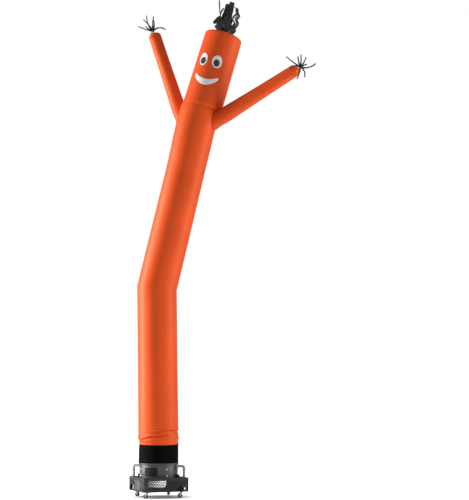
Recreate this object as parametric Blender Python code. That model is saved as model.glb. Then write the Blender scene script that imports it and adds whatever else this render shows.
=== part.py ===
"""Inflatable air dancer standing on its blower.

A 20 ft dancer: one long nylon tube with a bend, a separate head with a sewn-on face, two sewn-on arms,
black fringes, and a black collar that holds the tube on the outlet of an 18 in floor blower on casters.
Metres, +Z up. The viewer looks along +Y, so -Y is the front. Azimuths round the dancer are in degrees
from the front, positive towards the viewer's right.
"""

import math

import bmesh
import bpy
from mathutils import Matrix, Vector

# Where the blower's axis stands in the part's own frame, whose origin is under the middle of the whole.
BLOWER_X = -0.790
BLOWER_Y = 0.104

GAP = 0.0004            # between pieces that touch
CLOTH = 0.0012          # nylon of the tube, the head and the arms
PATCH = 0.0010          # sewn-on face cloth

# Blower: a steel drum on a square box that the air enters.
BOX_SIDE = 0.568
BOX_BOTTOM = 0.075
BOX_TOP = 0.242
BOX_TURN = -24.0        # azimuth of the box's near corner
BOX_WALL = 0.0025
BOX_CORNER_R = 0.010
BOX_HOLE_R = 0.222
FLOOR_PLATE = 0.004
DRUM_R = 0.233
DRUM_TOP = 0.390
DRUM_WALL = 0.003
FLANGE_R = 0.241
FLANGE_TOP = 0.410
BAND_R = 0.224
BAND_TOP = 0.475
RIM_R = 0.230
RIM_TOP = 0.500
ARCH_HEIGHT = 0.066
ARCH_FOOT = 0.089
ARCH_WIDTH = 0.100
ARCH_FROM_CORNER = 0.095
CORNER_ARCH_WIDTH = 0.081
INLET_WIDTH = 0.194
INLET_SHIFT = 0.037     # from the middle of the left face towards the near corner
INLET_LOW = 0.098
INLET_HIGH = 0.208
# Inlets in two opposite sides: ending of the guide's name, side's azimuth, and how far round the guide
# bends at its foot and at its top.
INLETS = (("", 315.0, 50.0, 50.0), ("_far", 135.0, 61.0, 52.0))
HANDLE_LEG_R = 0.338
HANDLE_TOP = 0.390
HANDLE_WIDE = 0.025
HANDLE_DEEP = 0.032
HANDLE_BEND = 0.023
LABEL_TURN = -23.0
LABEL_HALF_ANGLE = 20.5
LABEL_LOW = 0.262
LABEL_HIGH = 0.362
BOLT_TURN = 4.5         # the pairs of bolts stand this far round from the middles of the box's sides
BOLT_HEIGHTS = (0.262, 0.340)

# Casters: fork pivots on the box's diagonals, wheels trail behind the pivots.
CASTER_R = 0.306
CASTER_TRAIL = 0.020
WHEEL_R = 0.029
WHEEL_WIDE = 0.020
AXLE_R = 0.0035
# name, box diagonal, azimuth that the fork trails towards
CASTERS = (
    ("near", 0.0, -110.0),
    ("right", 90.0, -70.0),
    ("far", 180.0, -150.0),
    ("left", 270.0, 75.0),
)

# Tube: three straight runs, one after the other, with the bend between the last two.
TUBE_R = 0.2424
TUBE_LOW_R = 0.2336     # under the collar
TUBE_FOOT = 0.4135
TUBE_SHIFT = -0.0044    # the blown-up tube stands this far to the right of its foot
SHOULDER = 0.011        # how far the left arm draws the tube out below the neck
LOWER_START = 0.620
LOWER_LEAN = -1.0
LOWER_LENGTH = 1.917
UPPER_LEAN = 13.1
UPPER_LENGTH = 2.330
NECK_SKEW = 0.012       # how much lower the neck seam lies at the right, and higher at the left
HEAD_LEAN = 16.2
HEAD_SHIFT = 0.0184     # the head sits this far to the right of the tube it is sewn to
HEAD_LENGTH = 0.986
HEAD_LOW_R = 0.250
HEAD_HIGH_R = 0.2385
HEAD_DOME = 0.028
TUBE_SIDES = 36
HEAD_SIDES = 48

# Folds of the tube's foot: azimuth and height of both ends, depth inwards, half height.
FOLDS = (
    # from_az, from_z, to_az, to_z, depth, half
    (-100.0, 0.686, 30.0, 0.742, 0.011, 0.014),
    (-15.0, 0.772, 105.0, 0.782, 0.010, 0.012),
    (-25.0, 0.822, 10.0, 0.818, 0.004, 0.010),
    (60.0, 0.672, 130.0, 0.664, 0.008, 0.012),
    (140.0, 0.720, 250.0, 0.700, 0.009, 0.014),
    (150.0, 0.800, 215.0, 0.790, 0.006, 0.012),
)

COLLAR_LOW = 0.4108
COLLAR_HIGH = 0.618
COLLAR_THICK = 0.0025

# Face, on the unrolled head: across to the viewer's right, up from the neck seam, all in metres.
EYE_TILT = 8.0
# name, across, up, half_width, half_height, layer
FACE_DISCS = (
    ("eye_white_left", -0.157, 0.584, 0.058, 0.083, 0),
    ("eye_white_right", 0.027, 0.583, 0.063, 0.082, 0),
    ("pupil_left", -0.158, 0.562, 0.038, 0.046, 1),
    ("pupil_right", 0.025, 0.564, 0.038, 0.045, 1),
)
MOUTH_ACROSS = -0.055
MOUTH_HALF = 0.160
MOUTH_UPPER = (0.334, 0.066)    # height in the middle, rise to the ends
MOUTH_LOWER = (0.258, 0.098)

# Arms: root on the tube, by azimuth and distance below the neck seam, and the wrist from the blower's axis.
# name, root_az, below_neck, wrist, root_radius, wrist_radius
ARMS = (
    ("arm_right", 70.0, 0.118, (1.660, -0.440, 5.201), 0.098, 0.075),
    ("arm_left", -128.0, 0.164, (-0.100, 0.220, 5.820), 0.090, 0.079),
)
ARM_SIDES = 24
ARM_GAP = 0.0009        # at the points of the root seam; its straight edges come nearer the round tube
# the gathered wrist: distance past the wrist and share of its radius
WRIST_CLOSING = ((-0.006, 0.98), (0.010, 0.88), (0.024, 0.62), (0.036, 0.30))
WRIST_END = 0.050

# Fringes at the wrists: angle seen from the front (0 is right, 90 up), length, bend, turn to the viewer.
FRINGE_RIGHT = (
    # angle, length, bend, toward
    (149.0, 0.200, -4.0, 10.0),
    (106.0, 0.145, -8.0, -20.0),
    (80.0, 0.142, 8.0, 30.0),
    (48.0, 0.152, 14.0, -15.0),
    (14.0, 0.085, -6.0, 40.0),
    (-22.0, 0.190, 34.0, 5.0),
    (-28.0, 0.150, -46.0, -30.0),
    (-94.0, 0.175, -18.0, 10.0),
    (168.0, 0.135, 24.0, 52.0),
)
FRINGE_LEFT = (
    (142.0, 0.205, -28.0, 20.0),
    (150.0, 0.138, -10.0, -30.0),
    (120.0, 0.200, 8.0, -12.0),
    (98.0, 0.172, -10.0, 25.0),
    (76.0, 0.171, 12.0, -25.0),
    (48.0, 0.163, -44.0, 10.0),
    (170.0, 0.185, -8.0, 0.0),
    (-150.0, 0.085, 20.0, -40.0),
)
STRAND_WIDE = 0.015
STRAND_THICK = 0.003

# Hair on the crown: ring of the pad, first face, step to the next face, count, lean outwards, length,
# width, curl.
HAIR_PAD_R = 0.080
HAIR_SIDES = 16
HAIR_ROWS = (
    # ring, first, step, count, lean, length, wide, curl
    (0, 0, 2, 8, 56.0, 0.085, 0.030, 12.0),
    (1, 1, 2, 8, 17.0, 0.235, 0.028, -10.0),
    (2, 0, 2, 8, 7.0, 0.395, 0.022, -5.0),
)
HAIR_LEAN = 7.0
HAIR_SHIFT = 0.012      # from the crown's middle to the right

# Colours as linear RGB, then roughness and metallic.
COLOURS = {
    "orange_nylon": ((0.83, 0.16, 0.035), 0.65, 0.0),
    "black_cloth": ((0.012, 0.012, 0.013), 0.80, 0.0),
    "white_cloth": ((0.80, 0.80, 0.80), 0.70, 0.0),
    "grey_powder_coat": ((0.050, 0.050, 0.048), 0.45, 0.6),
    "black_enamel": ((0.010, 0.010, 0.011), 0.40, 0.3),
    "zinc": ((0.55, 0.56, 0.57), 0.35, 1.0),
    "black_rubber": ((0.015, 0.015, 0.015), 0.75, 0.0),
}


def material(piece, finish):
    colour, roughness, metallic = COLOURS[finish]
    made = bpy.data.materials.new(piece + "_" + finish)
    made.use_nodes = True
    shader = made.node_tree.nodes["Principled BSDF"]
    shader.inputs["Base Color"].default_value = (*colour, 1.0)
    shader.inputs["Roughness"].default_value = roughness
    shader.inputs["Metallic"].default_value = metallic
    made.diffuse_color = (*colour, 1.0)
    return made


def make(name, verts, faces, finish, parent, smooth=True):
    """One named object from points and faces, with its faces pointing out."""
    mesh = bpy.data.meshes.new(name)
    bm = bmesh.new()
    points = [bm.verts.new(v) for v in verts]
    for face in faces:
        bm.faces.new([points[i] for i in face])
    bmesh.ops.recalc_face_normals(bm, faces=bm.faces[:])
    bm.to_mesh(mesh)
    bm.free()
    if smooth:
        mesh.shade_smooth()
        mesh.set_sharp_from_angle(angle=math.radians(35))
    obj = bpy.data.objects.new(name, mesh)
    bpy.context.scene.collection.objects.link(obj)
    obj.parent = parent
    if finish:
        mesh.materials.append(material(name, finish))
    return obj


def empty(name, parent, location=(0, 0, 0), turn=0.0):
    obj = bpy.data.objects.new(name, None)
    bpy.context.scene.collection.objects.link(obj)
    obj.parent = parent
    obj.location = location
    obj.rotation_euler = (0, 0, math.radians(turn))
    return obj


def boolean(obj, cutter, operation):
    """Cuts obj with cutter, or joins them; the cutter stays out of the build."""
    cutter.hide_render = True
    cutter.display_type = "WIRE"
    step = obj.modifiers.new(operation.lower(), "BOOLEAN")
    step.operation = operation
    step.solver = "EXACT"
    step.object = cutter


def heading(azimuth):
    """Unit vector on the floor for an azimuth from the front."""
    a = math.radians(azimuth)
    return Vector((math.sin(a), -math.cos(a), 0.0))


def stitch(rings, closed):
    """Quads between rings of equal length; closed also joins the last ring to the first."""
    faces = []
    sides = len(rings[0])
    pairs = list(zip(rings, rings[1:]))
    if closed:
        pairs.append((rings[-1], rings[0]))
    for low, high in pairs:
        for i in range(sides):
            j = (i + 1) % sides
            faces.append((low[i], low[j], high[j], high[i]))
    return faces


def wall(name, outer, inner, finish, parent, apex=None):
    """Thin wall between outer and inner rings of points. It is open at both ends, or closed at the far end
    by the two apex points, outer then inner."""
    verts = [p for ring in outer for p in ring]
    verts += [p for ring in reversed(inner) for p in ring]
    sides = len(outer[0])
    count = len(outer) + len(inner)
    index = [[k * sides + i for i in range(sides)] for k in range(count)]
    if apex is None:
        faces = stitch(index, closed=True)
    else:
        top, under = index[:len(outer)], index[len(outer):]
        faces = stitch(top, closed=False) + stitch(under, closed=False)
        faces += stitch([under[-1], top[0]], closed=False)
        for point, ring in zip(apex, (top[-1], under[0])):
            verts.append(point)
            faces += [(ring[i], ring[(i + 1) % sides], len(verts) - 1) for i in range(sides)]
    return make(name, verts, faces, finish, parent)


def turned(name, profile, sides, finish, parent, axis=None, centre=(0, 0, 0)):
    """Ring turned round an axis (vertical if none is given) from a closed profile of (radius, along)."""
    along = Vector(axis or (0, 0, 1)).normalized()
    first = along.orthogonal().normalized()
    second = along.cross(first)
    rings = []
    for radius, level in profile:
        ring = []
        for i in range(sides):
            a = 2 * math.pi * i / sides
            out = first * math.cos(a) + second * math.sin(a)
            ring.append(Vector(centre) + out * radius + along * level)
        rings.append(ring)
    verts = [p for ring in rings for p in ring]
    index = [[k * sides + i for i in range(sides)] for k in range(len(rings))]
    return make(name, verts, stitch(index, closed=True), finish, parent)


def prism(name, outline, low, high, finish, parent, frame=None):
    """Outline in a plane, pulled from low to high along the plane's normal. frame holds the origin and the
    two plane axes; without it the outline lies flat."""
    origin, across, up = frame or (Vector(), Vector((1, 0, 0)), Vector((0, 1, 0)))
    normal = across.cross(up)
    verts = []
    for level in (low, high):
        verts += [origin + across * u + up * v + normal * level for u, v in outline]
    n = len(outline)
    faces = [tuple(range(n)), tuple(range(n, 2 * n))]
    faces += [(i, (i + 1) % n, n + (i + 1) % n, n + i) for i in range(n)]
    return make(name, verts, faces, finish, parent, smooth=False)


def rounded_square(side, radius, steps=3):
    points = []
    for quarter in range(4):
        a0 = quarter * math.pi / 2
        cx = (side / 2 - radius) * (1 if quarter in (0, 3) else -1)
        cy = (side / 2 - radius) * (1 if quarter in (0, 1) else -1)
        for k in range(steps + 1):
            a = a0 + k * math.pi / 2 / steps
            points.append((cx + radius * math.cos(a), cy + radius * math.sin(a)))
    return points


def arch(width, foot, height, steps=8):
    """Outline of an arch opening: straight foot and sides under a round head."""
    half = width / 2
    rise = min(half, height * 0.75)
    spring = foot + height - rise
    points = [(-half, foot), (half, foot)]
    for k in range(steps + 1):
        a = math.pi * k / steps
        points.append((half * math.cos(a), spring + rise * math.sin(a)))
    return points


# Tube and head surfaces

def spine(distance):
    """Centre of the tube at a distance along it from its foot."""
    collar_run = LOWER_START - TUBE_FOOT
    point = Vector((0.0, 0.0, TUBE_FOOT + min(distance, collar_run)))
    point.x = TUBE_SHIFT * min(1.0, max(0.0, distance - collar_run) / 0.060)
    for lean, start, length in (
        (LOWER_LEAN, collar_run, LOWER_LENGTH),
        (UPPER_LEAN, collar_run + LOWER_LENGTH, UPPER_LENGTH),
        (HEAD_LEAN, collar_run + LOWER_LENGTH + UPPER_LENGTH, HEAD_LENGTH),
    ):
        run = min(max(distance - start, 0.0), length)
        a = math.radians(lean)
        point += Vector((math.sin(a), 0.0, math.cos(a))) * run
    return point


BEND = LOWER_START - TUBE_FOOT + LOWER_LENGTH
NECK = BEND + UPPER_LENGTH


def on_ring(centre, lean, azimuth, radius, lift=0.0):
    """Point of a ring whose axis leans to the right by lean degrees."""
    tilt, a = math.radians(lean), math.radians(azimuth)
    across = Vector((math.cos(tilt), 0.0, -math.sin(tilt)))
    along = Vector((math.sin(tilt), 0.0, math.cos(tilt)))
    return centre + across * (radius * math.sin(a)) + Vector((0, -radius * math.cos(a), 0)) + along * lift


def bump(value, middle, half):
    return math.exp(-((value - middle) / half) ** 2)


def fold_depth(azimuth, z):
    """How far the folds at the tube's foot draw its surface in."""
    depth = 0.0
    for from_az, from_z, to_az, to_z, deep, half in FOLDS:
        for turn in (-360.0, 0.0, 360.0):
            along = (azimuth + turn - from_az) / (to_az - from_az)
            if -0.2 < along < 1.2:
                fade = min(1.0, (along + 0.2) / 0.3, (1.2 - along) / 0.3)
                depth += deep * fade * bump(z, from_z + (to_z - from_z) * along, half)
    return depth


def tube_radius(distance, azimuth, z):
    """Outer radius of the tube: narrow in the collar, blown out above it, folded, drawn in at the bend."""
    if z < LOWER_START + 0.001:
        return TUBE_LOW_R
    rise = min(1.0, (z - LOWER_START) / 0.060)
    radius = TUBE_LOW_R + (TUBE_R - TUBE_LOW_R) * math.sin(rise * math.pi / 2)
    left = max(0.0, -math.sin(math.radians(azimuth)))
    radius += 0.006 * bump(z, 0.700, 0.035) - 0.008 * left * bump(z, 0.645, 0.016)
    radius -= fold_depth(azimuth, z)
    right = max(0.0, math.sin(math.radians(azimuth)))
    radius -= 0.003 * right * bump(distance, BEND - 0.004, 0.030)
    radius -= 0.003 * math.exp(-(NECK - distance) / 0.015)
    return radius + shoulder(distance, azimuth)


def shoulder(distance, azimuth):
    """How far the left arm's root draws the tube out."""
    left = max(0.0, -math.sin(math.radians(azimuth)))
    below = max(0.0, NECK - distance)
    return SHOULDER * left * bump(below, 0.30, 0.30) * (1.0 - math.exp(-below / 0.05))


def head_radius(up):
    radius = HEAD_LOW_R + (HEAD_HIGH_R - HEAD_LOW_R) * up / HEAD_LENGTH
    radius -= (HEAD_LOW_R - TUBE_R + 0.002) * math.exp(-up / 0.018)
    return radius


def head_axes():
    """Directions up the head and across it, to the viewer's right."""
    a = math.radians(HEAD_LEAN)
    return Vector((math.sin(a), 0.0, math.cos(a))), Vector((math.cos(a), 0.0, -math.sin(a)))


def head_centre(up):
    along, across = head_axes()
    return spine(NECK) + along * up + across * (HEAD_SHIFT * (1.0 - math.exp(-up / 0.025)))


def on_head(across, up, lift=0.0):
    """Point of the head's surface from its unrolled face, raised by lift."""
    azimuth = math.degrees(across / head_radius(up))
    return on_ring(head_centre(up), HEAD_LEAN, azimuth, head_radius(up) + lift)


def tube_body(parent):
    """The long tube, open at its foot and its neck, with holes where air enters the arms."""
    foot = [0.0, 0.090, 0.185]
    folds = [0.2065] + [0.226 + 0.024 * k for k in range(9)]
    lower = [0.55, 1.20, 1.75]
    bend = [BEND + step for step in (-0.160, -0.085, -0.036, 0.0, 0.036, 0.085, 0.160)]
    upper = [BEND + 0.75, BEND + 1.35, BEND + 1.80]
    neck = [NECK - 0.30, NECK - 0.14, NECK - 0.060, NECK - 0.025, NECK]
    outer, inner = [], []
    for distance in foot + folds + lower + bend + upper + neck:
        if distance < BEND - 0.02:
            lean = LOWER_LEAN if distance > 0.21 else 0.0
        else:
            lean = UPPER_LEAN if distance > BEND + 0.02 else (LOWER_LEAN + UPPER_LEAN) / 2
        centre = spine(distance)
        skew = NECK_SKEW * max(0.0, 1.0 - (NECK - distance) / 0.60)
        for rings, inset in ((outer, 0.0), (inner, CLOTH)):
            ring = []
            for i in range(TUBE_SIDES):
                azimuth = 360.0 * i / TUBE_SIDES - 180.0
                a = math.radians(azimuth)
                level = centre.z - TUBE_R * math.sin(a) * math.sin(math.radians(lean))
                radius = tube_radius(distance, azimuth, level) - inset
                ring.append(on_ring(centre, lean, azimuth, radius, -skew * math.sin(a)))
            rings.append(ring)
    body = wall("tube_body", outer, inner, "orange_nylon", parent)
    for arm in ARMS:
        boolean(body, arm_hole(arm, parent), "DIFFERENCE")
    return body


def head(parent):
    """The head: a tube whose seam lies on the neck, with a blown-out crown."""
    rows = [(0.0006, 1.0), (0.030, 1.0), (0.070, 1.0), (0.130, 1.0), (0.45, 1.0), (0.75, 1.0)]
    rows += [(HEAD_LENGTH - 0.050, 1.0), (HEAD_LENGTH - 0.012, 0.992), (HEAD_LENGTH - 0.002, 0.968)]
    crown = [0.88, 0.70, 0.40]
    outer, inner = [], []
    for rings, inset in ((outer, 0.0), (inner, CLOTH)):
        for row, (up, share) in enumerate(rows):
            seam_share = max(0.0, 1.0 - up / 0.13)
            lean = HEAD_LEAN + (UPPER_LEAN - HEAD_LEAN) * seam_share
            ring = []
            for i in range(HEAD_SIDES):
                azimuth = 360.0 * i / HEAD_SIDES - 180.0
                drop = NECK_SKEW * seam_share * math.sin(math.radians(azimuth))
                if row > len(rows) - 3:
                    drop += inset
                ring.append(on_ring(head_centre(up), lean, azimuth,
                                    head_radius(up) * share - inset, -drop))
            rings.append(ring)
        for share in crown:
            centre = head_centre(HEAD_LENGTH + crown_height(HEAD_HIGH_R * share) - inset)
            rings.append([on_ring(centre, HEAD_LEAN, 360.0 * i / HEAD_SIDES - 180.0, HEAD_HIGH_R * share)
                          for i in range(HEAD_SIDES)])
    tops = [head_centre(HEAD_LENGTH + HEAD_DOME - inset) for inset in (0.0, CLOTH)]
    return wall("head", outer, inner, "orange_nylon", parent, apex=tops)


def crown_height(radius):
    """Height of the blown-out crown above the head's upper edge."""
    return HEAD_DOME * (1.0 - (radius / HEAD_HIGH_R) ** 2)


def face_disc(name, across, up, half_width, half_height, layer, parent):
    """Oval patch that follows the head."""
    rings, sides = (4, 24) if layer == 0 else (3, 18)
    tilt = math.radians(EYE_TILT)
    lift = 0.0006 + layer * (PATCH + 0.0005)
    verts = []
    for level in (lift, lift + PATCH):
        verts.append(on_head(across, up, level))
        for k in range(1, rings + 1):
            for i in range(sides):
                a = 2 * math.pi * i / sides
                u, v = half_width * k / rings * math.cos(a), half_height * k / rings * math.sin(a)
                verts.append(on_head(across + u * math.cos(tilt) - v * math.sin(tilt),
                                     up + u * math.sin(tilt) + v * math.cos(tilt), level))
    count = 1 + rings * sides
    faces = []
    for base in (0, count):
        index = [[base + 1 + k * sides + i for i in range(sides)] for k in range(rings)]
        faces += stitch(index, closed=False)
        faces += [(base, index[0][i], index[0][(i + 1) % sides]) for i in range(sides)]
    edge = 1 + (rings - 1) * sides
    for i in range(sides):
        j = (i + 1) % sides
        faces.append((edge + i, edge + j, count + edge + j, count + edge + i))
    return make(name, verts, faces, "white_cloth" if layer == 0 else "black_cloth", parent)


def mouth(parent):
    """Smiling crescent with round ends."""
    columns, rows = 26, 4
    verts = []
    for level in (0.0006, 0.0006 + PATCH):
        for c in range(columns + 1):
            t = -math.cos(math.pi * c / columns)
            middle = 0.5 * (MOUTH_UPPER[0] + MOUTH_LOWER[0]) + 0.5 * (MOUTH_UPPER[1] + MOUTH_LOWER[1]) * t * t
            half = 0.5 * (MOUTH_UPPER[0] - MOUTH_LOWER[0]) + 0.5 * (MOUTH_UPPER[1] - MOUTH_LOWER[1]) * t * t
            half *= math.sqrt(max(0.0, 1.0 - t ** 8)) + 0.02
            for r in range(rows + 1):
                verts.append(on_head(MOUTH_ACROSS + MOUTH_HALF * t, middle + half * (2 * r / rows - 1), level))
    per_side = (columns + 1) * (rows + 1)

    def at(side, c, r):
        return side * per_side + c * (rows + 1) + r

    faces = []
    for c in range(columns):
        for r in range(rows):
            for side in (0, 1):
                faces.append((at(side, c, r), at(side, c + 1, r), at(side, c + 1, r + 1), at(side, c, r + 1)))
        for r in (0, rows):
            faces.append((at(0, c, r), at(0, c + 1, r), at(1, c + 1, r), at(1, c, r)))
    for c in (0, columns):
        for r in range(rows):
            faces.append((at(0, c, r), at(0, c, r + 1), at(1, c, r + 1), at(1, c, r)))
    return make("mouth", verts, faces, "white_cloth", parent)


# Arms

def arm_axis(arm):
    """Root on the tube's surface, wrist, and the two directions across the arm."""
    _, root_az, below_neck, wrist, _, _ = arm
    root = on_ring(spine(NECK - below_neck), UPPER_LEAN, root_az, TUBE_R)
    wrist = Vector(wrist)
    along = (wrist - root).normalized()
    first = along.cross(Vector((0, 1, 0))).normalized()
    return root, wrist, first, along.cross(first)


def off_head(point):
    """How far a point stands off the head's surface."""
    along, across = head_axes()
    up = (point - spine(NECK)).dot(along)
    if up < -0.010:
        return 1.0
    side = point - head_centre(max(0.0, up))
    return (side - along * side.dot(along)).length - head_radius(max(0.0, up))


def off_tube(point):
    """How far a point stands off the surface of the tube's upper run."""
    start, end = spine(BEND), spine(NECK)
    along = (end - start).normalized()
    run = (point - start).dot(along)
    side = point - start - along * run
    azimuth = math.degrees(math.atan2(side.dot(Vector((along.z, 0.0, -along.x))), -side.y))
    return side.length - TUBE_R - shoulder(BEND + run, azimuth)


def arm_point(arm, share, turn, inset):
    """Point on an arm's surface at a share of its length, and at a turn round it."""
    root, wrist, first, second = arm_axis(arm)
    radius = arm[4] + (arm[5] - arm[4]) * max(0.0, share) - inset
    radius -= 0.006 * bump(share, 0.03, 0.05)
    radius += 0.003 * bump(share, 0.16, 0.08)
    return root.lerp(wrist, share) + (first * math.cos(turn) + second * math.sin(turn)) * radius


def arm_root_share(arm, turn, inset):
    """Share of the arm's length at which this line along it meets the tube."""
    low, high = -0.30, 0.60
    for _ in range(40):
        middle = (low + high) / 2
        point = arm_point(arm, middle, turn, inset)
        if off_tube(point) < ARM_GAP or off_head(point) < 3 * ARM_GAP:
            low = middle
        else:
            high = middle
    return high


def arm(row, parent):
    """Tapered tube sewn to the body, drawn together at the wrist."""
    shares = (0.0, 0.03, 0.08, 0.16, 0.30, 0.50, 0.75, 0.975)
    root, wrist, first, second = arm_axis(row)
    along = (wrist - root).normalized()
    outer, inner = [], []
    for rings, inset in ((outer, 0.0), (inner, CLOTH)):
        turns = [2 * math.pi * i / ARM_SIDES for i in range(ARM_SIDES)]
        roots = [arm_root_share(row, turn, inset) for turn in turns]
        for share in shares:
            rings.append([arm_point(row, start + (1.0 - start) * share, turn, inset)
                          for start, turn in zip(roots, turns)])
        for reach, size in WRIST_CLOSING:
            centre = wrist + along * (reach - inset)
            radius = row[5] * size - inset
            rings.append([centre + (first * math.cos(turn) + second * math.sin(turn)) * radius
                          for turn in turns])
    tops = [wrist + along * (WRIST_END - inset) for inset in (0.0, CLOTH)]
    return wall(row[0], outer, inner, "orange_nylon", parent, apex=tops)


def arm_hole(row, parent):
    """Cutter for the hole in the tube's wall under an arm's root, a seam's width smaller than the arm."""
    root, wrist, first, second = arm_axis(row)
    along = (wrist - root).normalized()
    radius = row[4] - 0.016
    verts = []
    for level in (-0.24, 0.24):
        for i in range(ARM_SIDES):
            turn = 2 * math.pi * i / ARM_SIDES
            verts.append(root + along * level + (first * math.cos(turn) + second * math.sin(turn)) * radius)
    n = ARM_SIDES
    faces = stitch([list(range(n)), list(range(n, 2 * n))], closed=False)
    faces += [tuple(range(n)), tuple(range(n, 2 * n))]
    return make(row[0] + "_hole", verts, faces, None, parent, smooth=False)


# Fringes and hair: strands that grow out of the faces of a small pad

def grow(verts, faces, face, path, wide, thick, flat):
    """Replaces a face of the pad with a strand along a path, ribbon-shaped, with its width along flat."""
    faces.remove(face)
    last = list(face)
    normal = (verts[face[1]] - verts[face[0]]).cross(verts[face[2]] - verts[face[0]]).normalized()
    for k, point in enumerate(path):
        ahead = (path[min(k + 1, len(path) - 1)] - path[max(k - 1, 0)]).normalized()
        side = (flat - ahead * flat.dot(ahead)).normalized()
        over = ahead.cross(side)
        taper = 1.0 - 0.35 * k / (len(path) - 1)
        corners = [point + side * (x * wide * taper / 2) + over * (y * thick / 2)
                   for x, y in ((-1, -1), (1, -1), (1, 1), (-1, 1))]
        if normal.dot((corners[1] - corners[0]).cross(corners[2] - corners[0])) < 0 and k == 0:
            corners.reverse()
        reference = [verts[i] for i in last]
        reference_middle = sum(reference, Vector()) / 4
        options = []
        for order in (corners, corners[::-1]):
            for shift in range(4):
                turned_order = order[shift:] + order[:shift]
                miss = sum(((c - point) - (r - reference_middle)).length
                           for c, r in zip(turned_order, reference))
                turn = (turned_order[1] - turned_order[0]).cross(turned_order[2] - turned_order[0])
                if turn.dot(ahead) > 0:
                    options.append((miss, turned_order))
        best = min(options, key=lambda option: option[0])[1]
        base = len(verts)
        verts.extend(best)
        fresh = [base, base + 1, base + 2, base + 3]
        for i in range(4):
            j = (i + 1) % 4
            faces.append((last[i], last[j], fresh[j], fresh[i]))
        last = fresh
    faces.append(tuple(last))


def arc_path(start, direction, sideways, length, bend, steps=4):
    """Points along a strand that leaves start in direction and bends towards sideways, in degrees."""
    points, point = [], start.copy()
    for k in range(steps):
        a = math.radians(bend) * (k + 0.5) / steps * 2
        point = point + (direction * math.cos(a) + sideways * math.sin(a)) * (length / steps)
        points.append(point.copy())
    return points


def fringe(name, centre, axis, strands, parent):
    """Strands knotted together at a wrist."""
    axis = axis.normalized()
    first = axis.cross(Vector((0, 1, 0))).normalized()
    second = axis.cross(first)
    sides = 8
    profile = ((0.008, 0.0), (0.014, 0.006), (0.016, 0.016), (0.014, 0.026), (0.007, 0.032))
    verts, rows = [], []
    for radius, level in profile:
        rows.append(list(range(len(verts), len(verts) + sides)))
        for i in range(sides):
            a = 2 * math.pi * i / sides
            verts.append(centre + axis * level + (first * math.cos(a) + second * math.sin(a)) * radius)
    faces = [(low[i], low[(i + 1) % sides], high[(i + 1) % sides], high[i])
             for low, high in zip(rows, rows[1:]) for i in range(sides)]
    faces += [tuple(reversed(rows[0])), tuple(rows[-1])]
    middle = centre + axis * 0.016
    if faces_point_in(verts, faces[0], middle):
        faces = [tuple(reversed(face)) for face in faces]
    free = [face for face in faces if len(face) == 4]
    for angle, length, bend, toward in strands:
        a, t = math.radians(angle), math.radians(toward)
        flat_way = Vector((math.cos(a), 0.0, math.sin(a)))
        direction = flat_way * math.cos(t) + Vector((0, -math.sin(t), 0))
        sideways = Vector((-math.sin(a), 0.0, math.cos(a)))
        face = max(free, key=lambda f: (face_middle(verts, f) - middle).normalized().dot(direction))
        free.remove(face)
        start = face_middle(verts, face)
        path = arc_path(start + (start - middle) * 0.3, direction, sideways, length, bend)
        grow(verts, faces, face, path, STRAND_WIDE, STRAND_THICK, sideways)
    return make(name, verts, faces, "black_cloth", parent, smooth=False)


def face_middle(verts, face):
    return sum((verts[i] for i in face), Vector()) / len(face)


def faces_point_in(verts, face, inside):
    normal = (verts[face[1]] - verts[face[0]]).cross(verts[face[2]] - verts[face[0]])
    return normal.dot(face_middle(verts, face) - inside) < 0


def hair(parent):
    """Cloth strips that stand up from a pad on the crown."""
    up, across = head_axes()
    foot = head_centre(HEAD_LENGTH) + across * HAIR_SHIFT
    levels = (1.0, 0.98, 0.70, 0.42, 0.14)
    verts, rows = [], []
    for k, share in enumerate(levels):
        radius = HAIR_PAD_R * share
        thick = 0.0 if k == 0 else 0.004 + 0.004 * (1.0 - share)
        rows.append(list(range(len(verts), len(verts) + HAIR_SIDES)))
        for i in range(HAIR_SIDES):
            b = 2 * math.pi * i / HAIR_SIDES
            out = across * math.cos(b) + Vector((0, 1, 0)) * math.sin(b)
            verts.append(foot + out * radius + up * (crown_height(radius) + GAP + 0.0002 + thick))
    bottom = len(verts)
    verts.append(foot + up * (HEAD_DOME + GAP + 0.0002))
    n = HAIR_SIDES
    faces = [(low[i], low[(i + 1) % n], high[(i + 1) % n], high[i])
             for low, high in zip(rows, rows[1:]) for i in range(n)]
    faces += [(rows[0][(i + 1) % n], rows[0][i], bottom) for i in range(n)]
    faces.append(tuple(rows[-1]))
    tall = math.radians(HAIR_LEAN)
    rise = Vector((math.sin(tall), 0.0, math.cos(tall)))
    for ring, first, step, count, lean, length, wide, curl in HAIR_ROWS:
        for k in range(count):
            i = (first + k * step) % n
            low, high = rows[ring + 1], rows[ring + 2]
            face = (low[i], low[(i + 1) % n], high[(i + 1) % n], high[i])
            start = face_middle(verts, face)
            b = 2 * math.pi * (i + 0.5) / n
            out = across * math.cos(b) + Vector((0, 1, 0)) * math.sin(b)
            tilt = math.radians(lean)
            direction = (rise * math.cos(tilt) + out * math.sin(tilt)).normalized()
            sideways = (out - direction * out.dot(direction)).normalized()
            flat = direction.cross(sideways)
            reach = length * (1.0 + 0.10 * math.cos(5.0 * b + ring))
            path = arc_path(start + direction * 0.004, direction, sideways, reach, curl)
            grow(verts, faces, face, path, wide, 0.003, flat)
    return make("hair", verts, faces, "black_cloth", parent, smooth=False)


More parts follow.
